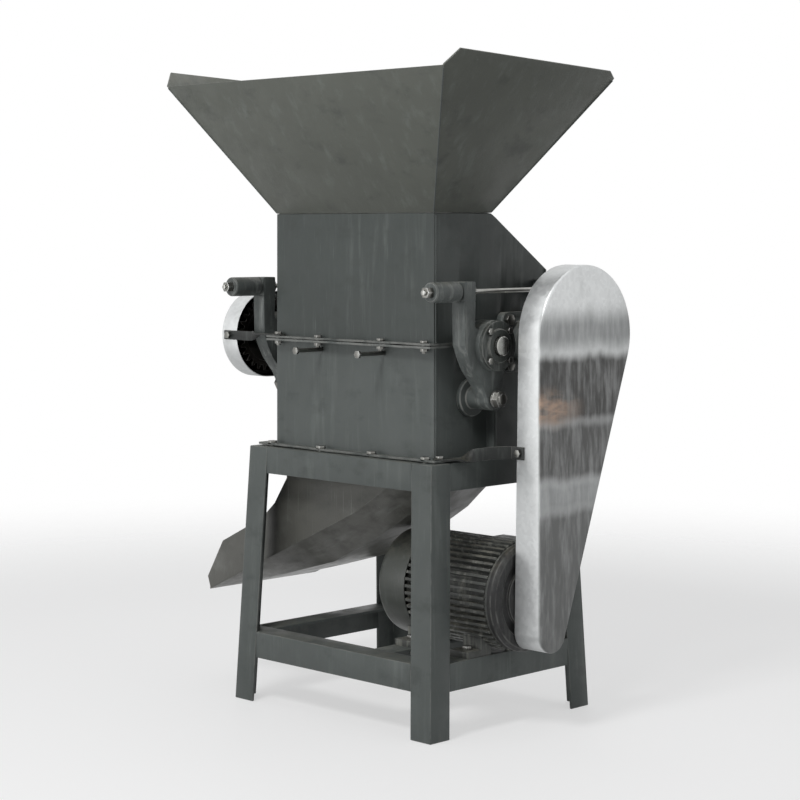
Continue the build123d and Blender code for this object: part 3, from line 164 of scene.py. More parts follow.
def ramp(tree, source, low, high):
    """Turns a grey value into a mask that runs from 0 at low to 1 at high."""
    node = tree.nodes.new("ShaderNodeMapRange")
    node.interpolation_type = "SMOOTHSTEP"
    node.inputs["From Min"].default_value = low
    node.inputs["From Max"].default_value = high
    tree.links.new(source, node.inputs["Value"])
    return node.outputs["Result"]


def group_mottle():
    """Soft irregular patches, as in uneven paint, dust or dirt."""
    group, entry, leave = make_group(
        "mottle",
        [
            ("Scale", "NodeSocketFloat", 8.0),
            ("Low", "NodeSocketFloat", 0.4),
            ("High", "NodeSocketFloat", 0.65),
            ("Stretch", "NodeSocketVector", (1.0, 1.0, 1.0)),
        ],
        [("Mask", "NodeSocketFloat")],
    )
    place = add(group, "ShaderNodeTexCoord")
    stretch = add(
        group,
        "ShaderNodeVectorMath",
        {0: place.outputs["Object"], 1: entry.outputs["Stretch"]},
        operation="MULTIPLY",
    )
    clouds = add(
        group,
        "ShaderNodeTexNoise",
        {"Vector": stretch.outputs[0], "Scale": entry.outputs["Scale"]},
        Detail=6.0,
        Roughness=0.62,
    )
    mask = add(
        group,
        "ShaderNodeMapRange",
        {
            "Value": clouds.outputs["Fac"],
            "From Min": entry.outputs["Low"],
            "From Max": entry.outputs["High"],
        },
        interpolation_type="SMOOTHSTEP",
    )
    group.links.new(mask.outputs["Result"], leave.inputs["Mask"])
    return group


def group_relief():
    """Height of a rolled or cast surface: long waves, orange peel and fine grain."""
    group, entry, leave = make_group(
        "relief",
        [
            ("Wave", "NodeSocketFloat", 0.3),
            ("Peel", "NodeSocketFloat", 0.3),
            ("Grain", "NodeSocketFloat", 0.3),
        ],
        [("Height", "NodeSocketFloat")],
    )
    place = add(group, "ShaderNodeTexCoord").outputs["Object"]
    total = None
    for name, scale, detail in (("Wave", 5.0, 2.0), ("Peel", 260.0, 2.0), ("Grain", 900.0, 4.0)):
        layer = add(group, "ShaderNodeTexNoise", {"Vector": place}, Scale=scale, Detail=detail)
        part = add(
            group,
            "ShaderNodeMath",
            {0: layer.outputs["Fac"], 1: entry.outputs[name]},
            operation="MULTIPLY",
        )
        if total is None:
            total = part.outputs[0]
        else:
            total = add(group, "ShaderNodeMath", {0: total, 1: part.outputs[0]}).outputs[0]
    group.links.new(total, leave.inputs["Height"])
    return group


def group_scratches():
    """Thin fine lines that run mostly one way, as left by a brush, a grinder or handling."""
    group, entry, leave = make_group(
        "scratches",
        [
            ("Stretch", "NodeSocketVector", (400.0, 400.0, 12.0)),
            ("Amount", "NodeSocketFloat", 0.62),
        ],
        [("Mask", "NodeSocketFloat")],
    )
    place = add(group, "ShaderNodeTexCoord").outputs["Object"]
    stretch = add(
        group, "ShaderNodeVectorMath", {0: place, 1: entry.outputs["Stretch"]}, operation="MULTIPLY"
    )
    fine = add(group, "ShaderNodeTexNoise", {"Vector": stretch.outputs[0]}, Scale=1.0, Detail=2.0)
    wide = add(group, "ShaderNodeTexNoise", {"Vector": place}, Scale=9.0, Detail=3.0)
    lines = add(
        group,
        "ShaderNodeMapRange",
        {"Value": fine.outputs["Fac"], "From Min": entry.outputs["Amount"]},
    )
    lines.inputs["From Max"].default_value = 0.8
    where = ramp(group, wide.outputs["Fac"], 0.42, 0.62)
    both = add(group, "ShaderNodeMath", {0: lines.outputs["Result"], 1: where}, operation="MULTIPLY")
    group.links.new(both.outputs[0], leave.inputs["Mask"])
    return group


def group_settled_dust():
    """Dust on faces that look up, broken up by noise."""
    group, entry, leave = make_group(
        "settled_dust", [("Amount", "NodeSocketFloat", 0.5)], [("Mask", "NodeSocketFloat")]
    )
    place = add(group, "ShaderNodeTexCoord").outputs["Object"]
    surface = add(group, "ShaderNodeNewGeometry")
    split = add(group, "ShaderNodeSeparateXYZ", {0: surface.outputs["Normal"]})
    up = ramp(group, split.outputs["Z"], 0.35, 0.95)
    specks = add(group, "ShaderNodeTexNoise", {"Vector": place}, Scale=34.0, Detail=8.0, Roughness=0.7)
    broken = ramp(group, specks.outputs["Fac"], 0.35, 0.7)
    both = add(group, "ShaderNodeMath", {0: up, 1: broken}, operation="MULTIPLY")
    scaled = add(
        group, "ShaderNodeMath", {0: both.outputs[0], 1: entry.outputs["Amount"]}, operation="MULTIPLY"
    )
    group.links.new(scaled.outputs[0], leave.inputs["Mask"])
    return group


def group_edges_wear_and_highlight():
    """Paler edges, partly paint wear and partly painted highlight where light catches the bevels: the
    piece's own edge mask, broken up by noise.
    """
    group, entry, leave = make_group(
        "edges_wear_and_highlight", [("Amount", "NodeSocketFloat", 0.6)], [("Mask", "NodeSocketFloat")]
    )
    place = add(group, "ShaderNodeTexCoord").outputs["Object"]
    edge = add(group, "ShaderNodeAttribute", attribute_name="edge")
    specks = add(group, "ShaderNodeTexNoise", {"Vector": place}, Scale=38.0, Detail=5.0)
    broken = ramp(group, specks.outputs["Fac"], 0.3, 0.62)
    both = add(group, "ShaderNodeMath", {0: edge.outputs["Fac"], 1: broken}, operation="MULTIPLY")
    scaled = add(
        group, "ShaderNodeMath", {0: both.outputs[0], 1: entry.outputs["Amount"]}, operation="MULTIPLY"
    )
    group.links.new(scaled.outputs[0], leave.inputs["Mask"])
    return group


MOTTLE = group_mottle()
RELIEF = group_relief()
SCRATCHES = group_scratches()
SETTLED_DUST = group_settled_dust()
EDGES_WEAR_AND_HIGHLIGHT = group_edges_wear_and_highlight()


# ------------------------------------------------------------------ materials


def use(tree, group, **values):
    """Places a shared group in a material, with its own values."""
    node = tree.nodes.new("ShaderNodeGroup")
    node.node_tree = group
    for key, value in values.items():
        node.inputs[key].default_value = value
    return node.outputs[0]


def blend_colour(tree, mask, first, second):
    """Mixes two colours, each a plain colour or a socket, by a mask."""
    node = tree.nodes.new("ShaderNodeMix")
    node.data_type = "RGBA"
    for label, value in (("A", first), ("B", second)):
        socket = next(s for s in node.inputs if s.name == label and s.type == "RGBA")
        if isinstance(value, bpy.types.NodeSocket):
            tree.links.new(value, socket)
        else:
            socket.default_value = value
    tree.links.new(mask, node.inputs["Factor"])
    return next(s for s in node.outputs if s.type == "RGBA")


def blend_value(tree, mask, low, high):
    """Runs a number from low to high along a mask; low may be a socket."""
    node = tree.nodes.new("ShaderNodeMix")
    for position, value in ((2, low), (3, high)):
        if isinstance(value, bpy.types.NodeSocket):
            tree.links.new(value, node.inputs[position])
        else:
            node.inputs[position].default_value = value
    tree.links.new(mask, node.inputs["Factor"])
    return node.outputs[0]


def darker(colour, share):
    """The same colour at a share of its strength."""
    return (*[share * c for c in colour[:3]], 1.0)


def start_material(name, metallic=0.0, coat=0.0, specular=0.5):
    """A material with its Principled shader; returns the material, its tree and the shader."""
    material = bpy.data.materials.new(name)
    material.use_nodes = True
    tree = material.node_tree
    surface = tree.nodes["Principled BSDF"]
    surface.inputs["Metallic"].default_value = metallic
    surface.inputs["Coat Weight"].default_value = coat
    surface.inputs["Specular IOR Level"].default_value = specular
    return material, tree, surface


def finish_material(tree, surface, colour, roughness, height, depth):
    """Links colour, roughness and a bump of the given depth, in millimetres, to the shader."""
    tree.links.new(colour, surface.inputs["Base Color"])
    tree.links.new(roughness, surface.inputs["Roughness"])
    bump = add(tree, "ShaderNodeBump", {"Height": height}, Strength=1.0, Distance=depth * MM)
    tree.links.new(bump.outputs["Normal"], surface.inputs["Normal"])


def painted(name, base, pale, rough=0.46, wave=0.6, peel=0.2, grain=0.1, depth=0.6, edge=0.5, dust=0.2,
            streak=(7.0, 7.0, 0.7), scratch=0.35):
    """Semi-matte paint on steel: uneven tone, faint vertical streaks, edges paled by wear and painted
    highlight, dust.
    """
    material, tree, surface = start_material(name, specular=0.3)
    cloud = use(tree, MOTTLE, Scale=4.0, Low=0.3, High=0.75)
    colour = blend_colour(tree, cloud, darker(base, 0.8), base)
    run = use(tree, MOTTLE, Scale=6.0, Low=0.5, High=0.78, Stretch=streak)
    half_run = blend_value(tree, run, 0.0, 0.3)
    colour = blend_colour(tree, half_run, colour, pale)
    scuffs = use(tree, MOTTLE, Scale=15.0, Low=0.52, High=0.75, Stretch=(1.0, 1.0, 1.6))
    half_scuffs = blend_value(tree, scuffs, 0.0, 0.45)
    colour = blend_colour(tree, half_scuffs, colour, SLATE_DEEP)
    lines = use(tree, SCRATCHES, Amount=0.64)
    faint = blend_value(tree, lines, 0.0, scratch)
    colour = blend_colour(tree, faint, colour, pale)
    settled = use(tree, SETTLED_DUST, Amount=dust)
    colour = blend_colour(tree, settled, colour, DUST)
    # Paler edges: paint wear, and a painted highlight where light catches them.
    rubbed_and_lit = use(tree, EDGES_WEAR_AND_HIGHLIGHT, Amount=edge)
    colour = blend_colour(tree, rubbed_and_lit, colour, DULL_STEEL)
    spots = use(tree, MOTTLE, Scale=22.0, Low=0.35, High=0.7)
    roughness = blend_value(tree, spots, rough - 0.08, rough + 0.1)
    roughness = blend_value(tree, settled, roughness, 0.85)
    height = use(tree, RELIEF, Wave=wave, Peel=peel, Grain=grain)
    finish_material(tree, surface, colour, roughness, height, depth)
    return material


def metal(name, base, dull, rough=0.3, streak=(300.0, 300.0, 4.0), grain=0.2, depth=0.08, dirt=0.3,
          edge=0.4):
    """Bare or plated steel: dull patches, working marks, grime in places, edges brightened by wear and
    painted highlight.
    """
    material, tree, surface = start_material(name, metallic=1.0)
    cloud = use(tree, MOTTLE, Scale=14.0, Low=0.35, High=0.7)
    colour = blend_colour(tree, cloud, base, dull)
    grime = use(tree, MOTTLE, Scale=30.0, Low=0.55, High=0.8)
    half_grime = blend_value(tree, grime, 0.0, dirt)
    colour = blend_colour(tree, half_grime, colour, OIL_AND_SHADE)
    # Brighter edges: wear, and a painted highlight where light catches them.
    rubbed_and_lit = use(tree, EDGES_WEAR_AND_HIGHLIGHT, Amount=edge)
    colour = blend_colour(tree, rubbed_and_lit, colour, ZINC)
    lines = use(tree, SCRATCHES, Stretch=streak, Amount=0.55)
    roughness = blend_value(tree, lines, rough, rough + 0.18)
    roughness = blend_value(tree, half_grime, roughness, 0.7)
    height = use(tree, RELIEF, Wave=0.0, Peel=0.4, Grain=grain)
    finish_material(tree, surface, colour, roughness, height, depth)
    return material


def casting(name, base, pale, depth=0.5, dust=0.3, edge=0.7):
    """Rough painted iron casting, with pale streaks, and edges paled by wear and painted highlight."""
    material, tree, surface = start_material(name, specular=0.35)
    cloud = use(tree, MOTTLE, Scale=11.0, Low=0.3, High=0.7)
    colour = blend_colour(tree, cloud, darker(base, 0.62), base)
    run = use(tree, MOTTLE, Scale=12.0, Low=0.48, High=0.7, Stretch=(6.0, 6.0, 0.8))
    half_run = blend_value(tree, run, 0.0, 0.5)
    colour = blend_colour(tree, half_run, colour, pale)
    settled = use(tree, SETTLED_DUST, Amount=dust)
    colour = blend_colour(tree, settled, colour, DUST)
    # Paler edges: paint wear, and a painted highlight where light catches them.
    rubbed_and_lit = use(tree, EDGES_WEAR_AND_HIGHLIGHT, Amount=edge)
    colour = blend_colour(tree, rubbed_and_lit, colour, DULL_STEEL)
    spots = use(tree, MOTTLE, Scale=60.0, Low=0.35, High=0.65)
    roughness = blend_value(tree, spots, 0.38, 0.62)
    height = use(tree, RELIEF, Wave=0.2, Peel=1.0, Grain=0.6)
    finish_material(tree, surface, colour, roughness, height, depth)
    return material


# Painted reflection bands on the belt guard's face, from the top down: light and dark reflections
# of the surroundings. Millimetres: upper limit and lower limit below the guard's top, softness of the
# limits. Then how strong, tint, roughness.
GUARD_REFLECTION_BANDS = (
    (90.0, 152.0, 24.0, 0.95, ZINC_SHADE, 0.42),
    (166.0, 282.0, 12.0, 1.0, REFLECTION_DARK, 0.5),
    (282.0, 390.0, 18.0, 0.95, REFLECTION_DARK, 0.5),
    (390.0, 437.0, 14.0, 0.9, ZINC_SHADE, 0.42),
    (437.0, 712.0, 18.0, 0.92, REFLECTION_GREY, 0.48),
)
RUST_MARK = (230.0, 280.0, 20.0, 1.0, RUST, 0.5)
RUST_FAR_Y = 30.0
RUST_FADE = 50.0
RAGGED_DEPTH = 22.0
FACE_DEPTH = (9.0, 1.0)


def guard_band(tree, level, streaks, mark):
    """A mask between two heights, broken by patches and fine upright streaks."""
    high, low = (guard_high.z - drop * MM for drop in mark[:2])
    soft, amount = mark[2] * MM, mark[3]
    below = ramp(tree, level, high + soft, high - soft)
    above = ramp(tree, level, low - soft, low + soft)
    band = add(tree, "ShaderNodeMath", {0: below, 1: above}, operation="MULTIPLY").outputs[0]
    band_strength = blend_value(tree, streaks, 0.78 * amount, amount)
    return add(tree, "ShaderNodeMath", {0: band, 1: band_strength}, operation="MULTIPLY").outputs[0]


def guard_reflections_and_rust(tree, place, colour, roughness):
    """Painted reflection bands across the guard's face, with slightly ragged limits, and a rusty patch."""
    split = add(tree, "ShaderNodeSeparateXYZ", {0: place})
    stretch = add(tree, "ShaderNodeVectorMath", {0: place}, operation="MULTIPLY")
    stretch.inputs[1].default_value = (1.0, 3.5, 1.0)
    ragged = add(tree, "ShaderNodeTexNoise", {"Vector": stretch.outputs[0]}, Scale=9.0, Detail=3.0)
    shift = add(
        tree, "ShaderNodeMath", {0: ragged.outputs["Fac"], 2: split.outputs["Z"]}, operation="MULTIPLY_ADD"
    )
    shift.inputs[1].default_value = RAGGED_DEPTH * MM
    level = add(tree, "ShaderNodeMath", {0: shift.outputs[0]}, operation="SUBTRACT")
    level.inputs[1].default_value = RAGGED_DEPTH / 2 * MM
    streaks = use(tree, MOTTLE, Scale=9.0, Low=0.3, High=0.62, Stretch=(1.0, 7.0, 1.2))
    face = ramp(tree, split.outputs["X"], *(guard_high.x - depth * MM for depth in FACE_DEPTH))
    for mark in GUARD_REFLECTION_BANDS:
        band = guard_band(tree, level.outputs[0], streaks, mark)
        band = add(tree, "ShaderNodeMath", {0: band, 1: face}, operation="MULTIPLY").outputs[0]
        colour = blend_colour(tree, band, colour, mark[4])
        roughness = blend_value(tree, band, roughness, mark[5])
    far = machine_y + RUST_FAR_Y * MM
    near = ramp(tree, split.outputs["Y"], far + RUST_FADE * MM, far - RUST_FADE * MM)
    blotches = use(tree, MOTTLE, Scale=17.0, Low=0.36, High=0.66, Stretch=(1.0, 0.6, 1.8))
    band = guard_band(tree, level.outputs[0], streaks, RUST_MARK)
    for mask in (face, near, blotches):
        band = add(tree, "ShaderNodeMath", {0: band, 1: mask}, operation="MULTIPLY").outputs[0]
    colour = blend_colour(tree, band, colour, RUST)
    return colour, blend_value(tree, band, roughness, RUST_MARK[5])


def galvanised(name, reflection_bands):
    """Bright galvanised sheet: crystal spangle, brush marks, an inside darkened by grease and painted
    shade, paler edges from wear and painted highlight, and on the belt guard painted reflection bands.
    """
    material, tree, surface = start_material(name, metallic=0.62)
    place = add(tree, "ShaderNodeTexCoord").outputs["Object"]
    crystals = add(tree, "ShaderNodeTexVoronoi", {"Vector": place}, Scale=150.0, feature="F1")
    tone = add(tree, "ShaderNodeSeparateColor", {0: crystals.outputs["Color"]}).outputs[0]
    colour = blend_colour(tree, blend_value(tree, tone, 0.0, 0.4), ZINC, ZINC_PALE)
    cloud = use(tree, MOTTLE, Scale=5.0, Low=0.45, High=0.7, Stretch=(1.0, 2.2, 0.8))
    half_cloud = blend_value(tree, cloud, 0.0, 0.45)
    colour = blend_colour(tree, half_cloud, colour, ZINC_DULL)
    roughness = blend_value(tree, tone, 0.36, 0.46)
    roughness = blend_value(tree, half_cloud, roughness, 0.5)
    # Painted reflections: light and dark bands across the belt guard's face, and a rusty patch.
    if reflection_bands:
        colour, roughness = guard_reflections_and_rust(tree, place, colour, roughness)
    # Grease and painted shade: faces inside the guards are darkened toward black.
    inside = add(tree, "ShaderNodeAttribute", attribute_name="inside").outputs["Fac"]
    grime = use(tree, MOTTLE, Scale=30.0, Low=0.2, High=0.5)
    grease_and_shade = add(tree, "ShaderNodeMath", {0: inside, 1: grime}, operation="MULTIPLY").outputs[0]
    colour = blend_colour(tree, grease_and_shade, colour, OIL_AND_SHADE)
    roughness = blend_value(tree, grease_and_shade, roughness, 0.6)
    lines = use(tree, SCRATCHES, Stretch=(30.0, 500.0, 9.0), Amount=0.6)
    roughness = blend_value(tree, lines, roughness, 0.55)
    # Paler edges: wear, and a painted highlight where light catches them.
    rubbed_and_lit = use(tree, EDGES_WEAR_AND_HIGHLIGHT, Amount=0.6)
    colour = blend_colour(tree, rubbed_and_lit, colour, ZINC_PALE)
    height = use(tree, RELIEF, Wave=1.0, Peel=0.01, Grain=0.0)
    finish_material(tree, surface, colour, roughness, height, 1.4)
    return material


def dull_matter(name, base, pale, rough, dust=0.3):
    """Rubber or moulded plastic: even, slightly grained and dusty."""
    material, tree, surface = start_material(name)
    cloud = use(tree, MOTTLE, Scale=25.0, Low=0.35, High=0.7)
    colour = blend_colour(tree, cloud, base, pale)
    settled = use(tree, SETTLED_DUST, Amount=dust)
    colour = blend_colour(tree, settled, colour, DUST)
    roughness = blend_value(tree, cloud, rough, rough + 0.12)
    height = use(tree, RELIEF, Wave=0.0, Peel=0.3, Grain=0.5)
    finish_material(tree, surface, colour, roughness, height, 0.15)
    return material


LOOKS = {
    "stand_paint": painted("stand_paint", SLATE, SLATE_PALE, rough=0.5, wave=0.25, peel=0.35, edge=0.3),
    "housing_paint": painted("housing_paint", SLATE, SLATE_PALE, edge=0.85),
    # Darker copy of the housing paint for the upper housing: painted shade.
    "upper_housing_painted_shade": painted("upper_housing_painted_shade", UPPER_SLATE_SHADED, SLATE_PALE, edge=0.85),
    "hopper_paint": painted("hopper_paint", HOPPER_GREY, SLATE_PALE, rough=0.42, wave=1.2, depth=1.2),
    # The chute's underside comes out paler through its edge mask: painted floor light.
    "chute_paint": painted("chute_paint", CHUTE_GREY, CAST_PALE, rough=0.36, wave=0.9, depth=1.0,
                           streak=(2.0, 9.0, 2.0), scratch=0.5),
    "strap_paint": painted("strap_paint", STRAP_BLACK, SLATE_PALE, edge=0.9),
    "cast_iron": casting("cast_iron", CAST_GREY, CAST_PALE),
    "cover_iron": casting("cover_iron", COVER_IRON, CAST_PALE, edge=0.9),
    "dark_bolts": metal("dark_bolts", BOLT_GREY, DARK_STEEL, rough=0.36, dirt=0.5, edge=0.7),
    "bright_steel": metal("bright_steel", BARE_STEEL, DULL_STEEL, rough=0.26),
    "rod_steel": metal("rod_steel", BARE_STEEL, DULL_STEEL, rough=0.3, streak=(300.0, 6.0, 300.0)),
    "roller_steel": metal("roller_steel", BARE_STEEL, DULL_STEEL, rough=0.22, streak=(6.0, 400.0, 400.0)),
    # Near-black gears: grease, and painted shade inside the gear guard.
    "gear_steel": metal("gear_steel", GREASE_AND_SHADE, OIL_AND_SHADE, rough=0.42, dirt=0.8, edge=0.15),
    "spring_steel": metal("spring_steel", DARK_STEEL, DULL_STEEL, rough=0.3),
    "galvanised": galvanised("galvanised", False),
    # The belt guard's sheet carries the painted reflection bands.
    "belt_guard_sheet": galvanised("belt_guard_sheet", True),
    "belt_rubber": dull_matter("belt_rubber", RUBBER, shade(44, 43, 42), 0.62),
    # The motor's pale streaks and strong edge paling are partly painted highlight on the fins.
    "motor_paint": casting("motor_paint", MOTOR_GREY, MOTOR_PALE_AND_HIGHLIGHT, depth=0.25, dust=0.45, edge=0.85),
    "shield_paint": casting("shield_paint", PLASTIC, MOTOR_GREY, depth=0.2, dust=0.35, edge=0.3),
    "cowl_paint": painted("cowl_paint", COWL_GREY, SLATE_PALE, rough=0.36, wave=0.3, dust=0.3),
    "fan_plastic": dull_matter("fan_plastic", PLASTIC, shade(48, 48, 47), 0.45),
}
LOOK_OF = {
    "hopper": "hopper_paint",
    # The upper housing takes the darker painted-shade copy of the housing paint.
    "upper_housing": "upper_housing_painted_shade",
    "bearing_cover_left": "cover_iron",
    "bearing_cover_right": "cover_iron",
    "motor_end_shields": "shield_paint",
    "chute": "chute_paint",
    "belt_guard": "belt_guard_sheet",
    "gear_guard_strap": "strap_paint",
    "belt_guard_strap": "strap_paint",
    "tension_rods": "rod_steel",
    "spring_cups": "cast_iron",
    "motor_fan_cowl": "cowl_paint",
}
SLOT_OF = {s["node"]: s["material_slot"] for s in frame["record"]["subparts"]}


def look_of(node):
    """The material of a node: its own where one is named, and otherwise its slot's."""
    return LOOK_OF.get(node, SLOT_OF[node])


# ------------------------------------------------------------------ pieces


def make_piece(name, bm, body, look, stands_for=(), smooth=35.0):
    """Turns a bmesh into a finished piece that rides on a body."""
    mesh = bpy.data.meshes.new(name)
    bm.to_mesh(mesh)
    bm.free()
    mesh.shade_smooth()
    mesh.set_sharp_from_angle(angle=radians(smooth))
    mesh.materials.append(LOOKS[look])
    piece = bpy.data.objects.new(name, mesh)
    bpy.context.scene.collection.objects.link(piece)
    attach(piece, body)
    if stands_for:
        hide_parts(*stands_for)
    return piece


def merged(node):
    """A bmesh copy of a CAD node, with its loose triangles joined and flat faces made whole."""
    bm = bmesh.new()
    bm.from_mesh(nodes[node].data)
    bmesh.ops.remove_doubles(bm, verts=bm.verts, dist=2e-6)
    bmesh.ops.dissolve_limit(
        bm, angle_limit=radians(0.4), verts=bm.verts, edges=bm.edges, use_dissolve_boundaries=False
    )
    return bm


def mask_layer(bm, name):
    """A value for each face, read by the materials as an attribute of that name."""
    return bm.faces.layers.float.get(name) or bm.faces.layers.float.new(name)


def round_edges(bm, width, segments=2, sharp=32.0):
    """Bevels the sharp edges and marks the new faces in the edge mask."""
    mask = mask_layer(bm, "edge")
    edges = [e for e in bm.edges if len(e.link_faces) == 2 and e.calc_face_angle() > radians(sharp)]
    made = bmesh.ops.bevel(
        bm,
        geom=edges,
        offset=width * MM,
        offset_type="OFFSET",
        segments=segments,
        profile=0.5,
        affect="EDGES",
        clamp_overlap=True,
        material=-1,
    )
    for face in made["faces"]:
        face[mask] = 1.0


def body_of(node):
    """The body that a CAD node belongs to."""
    return nodes[node]["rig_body"]


def soften(node, width, segments=2, sharp=32.0, smooth=35.0, shaping=None):
    """The CAD node's own shape, with its edges rounded as on the real piece."""
    bm = merged(node)
    if shaping:
        shaping(bm)
    round_edges(bm, width, segments, sharp)
    return make_piece(f"{node}_finished", bm, body_of(node), look_of(node), [node], smooth)


def cut_along(bm, axis, step):
    """Cuts the mesh by parallel planes, so that its long edges can bend."""
    places = [v.co[axis] for v in bm.verts]
    low, high = min(places), max(places)
    normal = Vector([float(i == axis) for i in range(3)])
    count = round((high - low) / (step * MM))
    for number in range(1, count):
        place = normal * (low + (high - low) * number / count)
        geom = bm.verts[:] + bm.edges[:] + bm.faces[:]
        bmesh.ops.bisect_plane(bm, geom=geom, dist=1e-6, plane_co=place, plane_no=normal)


def unevenness(co, seed, scale):
    """Smooth waves from 0 to 1 along a sheet's edge."""
    return 0.5 + 0.5 * noise.noise(Vector((co.x * scale, co.y * scale, seed)))


def overhang(co, half_x, half_y, reach):
    """How far out on a flange a point lies: 0 at the housing's wall, 1 at the flange's edge."""
    out_x = abs(co.x - machine_x) - half_x * MM
    out_y = abs(co.y - machine_y) - half_y * MM
    return min(max(out_x, out_y, 0.0) / (reach * MM), 1.0)


CUT_STEP = 18.0


def mark_sheared_and_lit_rims(bm):
    """The flanges' narrow outer faces are paler: bare where they were sheared, and a painted highlight
    where light catches them.
    """
    mask = mask_layer(bm, "edge")
    for face in bm.faces:
        outs = [overhang(v.co, HOUSING_HALF_X, HOUSING_HALF_Y, FLANGE_RIM) for v in face.verts]
        heights = [v.co.z for v in face.verts]
        if min(outs) > 0.99 and max(heights) - min(heights) < 9 * MM:
            face[mask] = 0.6


def warp_upper_housing(bm):
    """Sheared edges: a wavy top under the hopper, and a joint flange that isn't flat."""
    low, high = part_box("upper_housing")
    for axis in (0, 1):
        cut_along(bm, axis, CUT_STEP)
    for vert in bm.verts:
        outermost = overhang(vert.co, HOUSING_HALF_X - 2, HOUSING_HALF_Y - 2, 1.0) > 0.9
        if vert.co.z > high.z - 1e-5 and outermost:
            vert.co.z -= 2.6 * MM * unevenness(vert.co, 3.0, 16.0)
        elif vert.co.z < low.z + FLANGE_BAND * MM:
            out = overhang(vert.co, HOUSING_HALF_X, HOUSING_HALF_Y, FLANGE_REACH)
            vert.co.z += 1.8 * MM * out * unevenness(vert.co, 5.0, 22.0)
    mark_sheared_and_lit_rims(bm)


def warp_lower_housing(bm):
    """The joint flange bends down a little, and the base flange lifts off the stand's rails."""
    for axis in (0, 1):
        cut_along(bm, axis, CUT_STEP)
    for vert in bm.verts:
        out = overhang(vert.co, HOUSING_HALF_X, HOUSING_HALF_Y, FLANGE_REACH)
        if vert.co.z > housing_high.z - FLANGE_BAND * MM:
            vert.co.z -= 1.4 * MM * out * unevenness(vert.co, 9.0, 22.0)
        elif vert.co.z < housing_low.z + FLANGE_BAND * MM:
            vert.co.z += 3.2 * MM * out * unevenness(vert.co, 2.0, 11.0)
    mark_sheared_and_lit_rims(bm)


def mark_inside(bm, centre_of):
    """Marks the faces of a shell that look toward its own middle; the materials darken them with grease and
    painted shade.
    """
    mask = mask_layer(bm, "inside")
    bm.normal_update()
    for face in bm.faces:
        middle = face.calc_center_median()
        face[mask] = float(face.normal.dot(centre_of(middle) - middle) > 0.0)


def paint_chute_underside_light(bm):
    """Painted light: the chute's downward faces get half the edge mask, so they come out paler than its
    sides, for light bounced up from the floor.
    """
    mask = mask_layer(bm, "edge")
    bm.normal_update()
    for face in bm.faces:
        if face.normal.z < -0.25:
            face[mask] = 0.5


def mark_gear_guard(bm):
    """The gear guard's inside, seen from the line between the two shafts."""
    low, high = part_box("gear_guard")
    half_run = (high.y - low.y - (high.z - low.z)) / 2
    middle = (low + high) / 2

    def centre(point):
        y = min(max(point.y, middle.y - half_run), middle.y + half_run)
        return Vector((high.x - 4 * MM, y, middle.z))

    mark_inside(bm, centre)


GUARD_BIG_RADIUS = 128.0
GUARD_SMALL_RADIUS = 34.0


def mark_belt_guard(bm):
    """The belt guard's inside, seen from a line down its middle."""
    top, top_y = guard_high.z - GUARD_BIG_RADIUS * MM, guard_high.y - GUARD_BIG_RADIUS * MM
    bottom, bottom_y = guard_low.z + GUARD_SMALL_RADIUS * MM, guard_low.y + GUARD_SMALL_RADIUS * MM

    def centre(point):
        share = min(max((point.z - bottom) / (top - bottom), 0.0), 1.0)
        y = bottom_y + (top_y - bottom_y) * share
        return Vector((guard_high.x - 6 * MM, y, bottom + (top - bottom) * share))

    mark_inside(bm, centre)


# How wide each piece's edges are rounded, in millimetres.
EDGE_WIDTHS = {
    "frame_leg_front_left": 1.6,
    "frame_leg_front_right": 1.6,
    "frame_leg_back_left": 1.6,
    "frame_leg_back_right": 1.6,
    "upper_rail_front": 1.4,
    "upper_rail_back": 1.4,
    "upper_rail_left": 1.4,
    "upper_rail_right": 1.4,
    "lower_rail_front": 1.4,
    "lower_rail_back": 1.4,
    "lower_rail_left": 1.4,
    "lower_rail_right": 1.4,
    "motor_crossbar": 1.4,
    "feed_guides": 0.6,
    "scraper_front": 0.6,
    "scraper_back": 0.6,
    "gear_guard_strap": 0.5,
    "belt_guard_strap": 0.5,
    "rod_anchors": 1.5,
    "pivot_brackets": 2.0,
    "lever_arm_left": 2.4,
    "lever_arm_right": 2.4,
    "bearing_cover_left": 0.8,
    "bearing_cover_right": 0.8,
    "rear_bearing_left": 1.6,
    "rear_bearing_right": 1.6,
    "driven_pulley": 0.6,
    "motor_pulley": 0.6,
    "housing_bolts": 0.5,
    "pivot_bolts": 0.8,
    "cover_bolts": 0.5,
    "side_bolts": 0.6,
    "motor_bolts": 0.5,
    "scraper_bolts_front": 0.5,
    "scraper_bolts_back": 0.5,
    "rod_nuts": 0.6,
    "rear_gear": 0.4,
    "front_gear": 0.4,
    "tension_rods": 0.6,
    "spring_cups": 0.6,
    "motor_body": 0.7,
    "motor_fan_cowl": 0.5,
    "motor_end_shields": 1.5,
    "motor_terminal_box": 0.8,
    "motor_fan": 0.4,
}
for node, width in EDGE_WIDTHS.items():
    soften(node, width)
soften("upper_housing", 1.0, shaping=warp_upper_housing)
soften("lower_housing", 1.0, shaping=warp_lower_housing)
soften("hopper", 0.9)
soften("chute", 0.9, shaping=paint_chute_underside_light)
soften("belt_guard", 0.4, sharp=50.0, smooth=50.0, shaping=mark_belt_guard)
soften("gear_guard", 0.4, sharp=50.0, smooth=50.0, shaping=mark_gear_guard)

# ------------------------------------------------------------------ weld beads


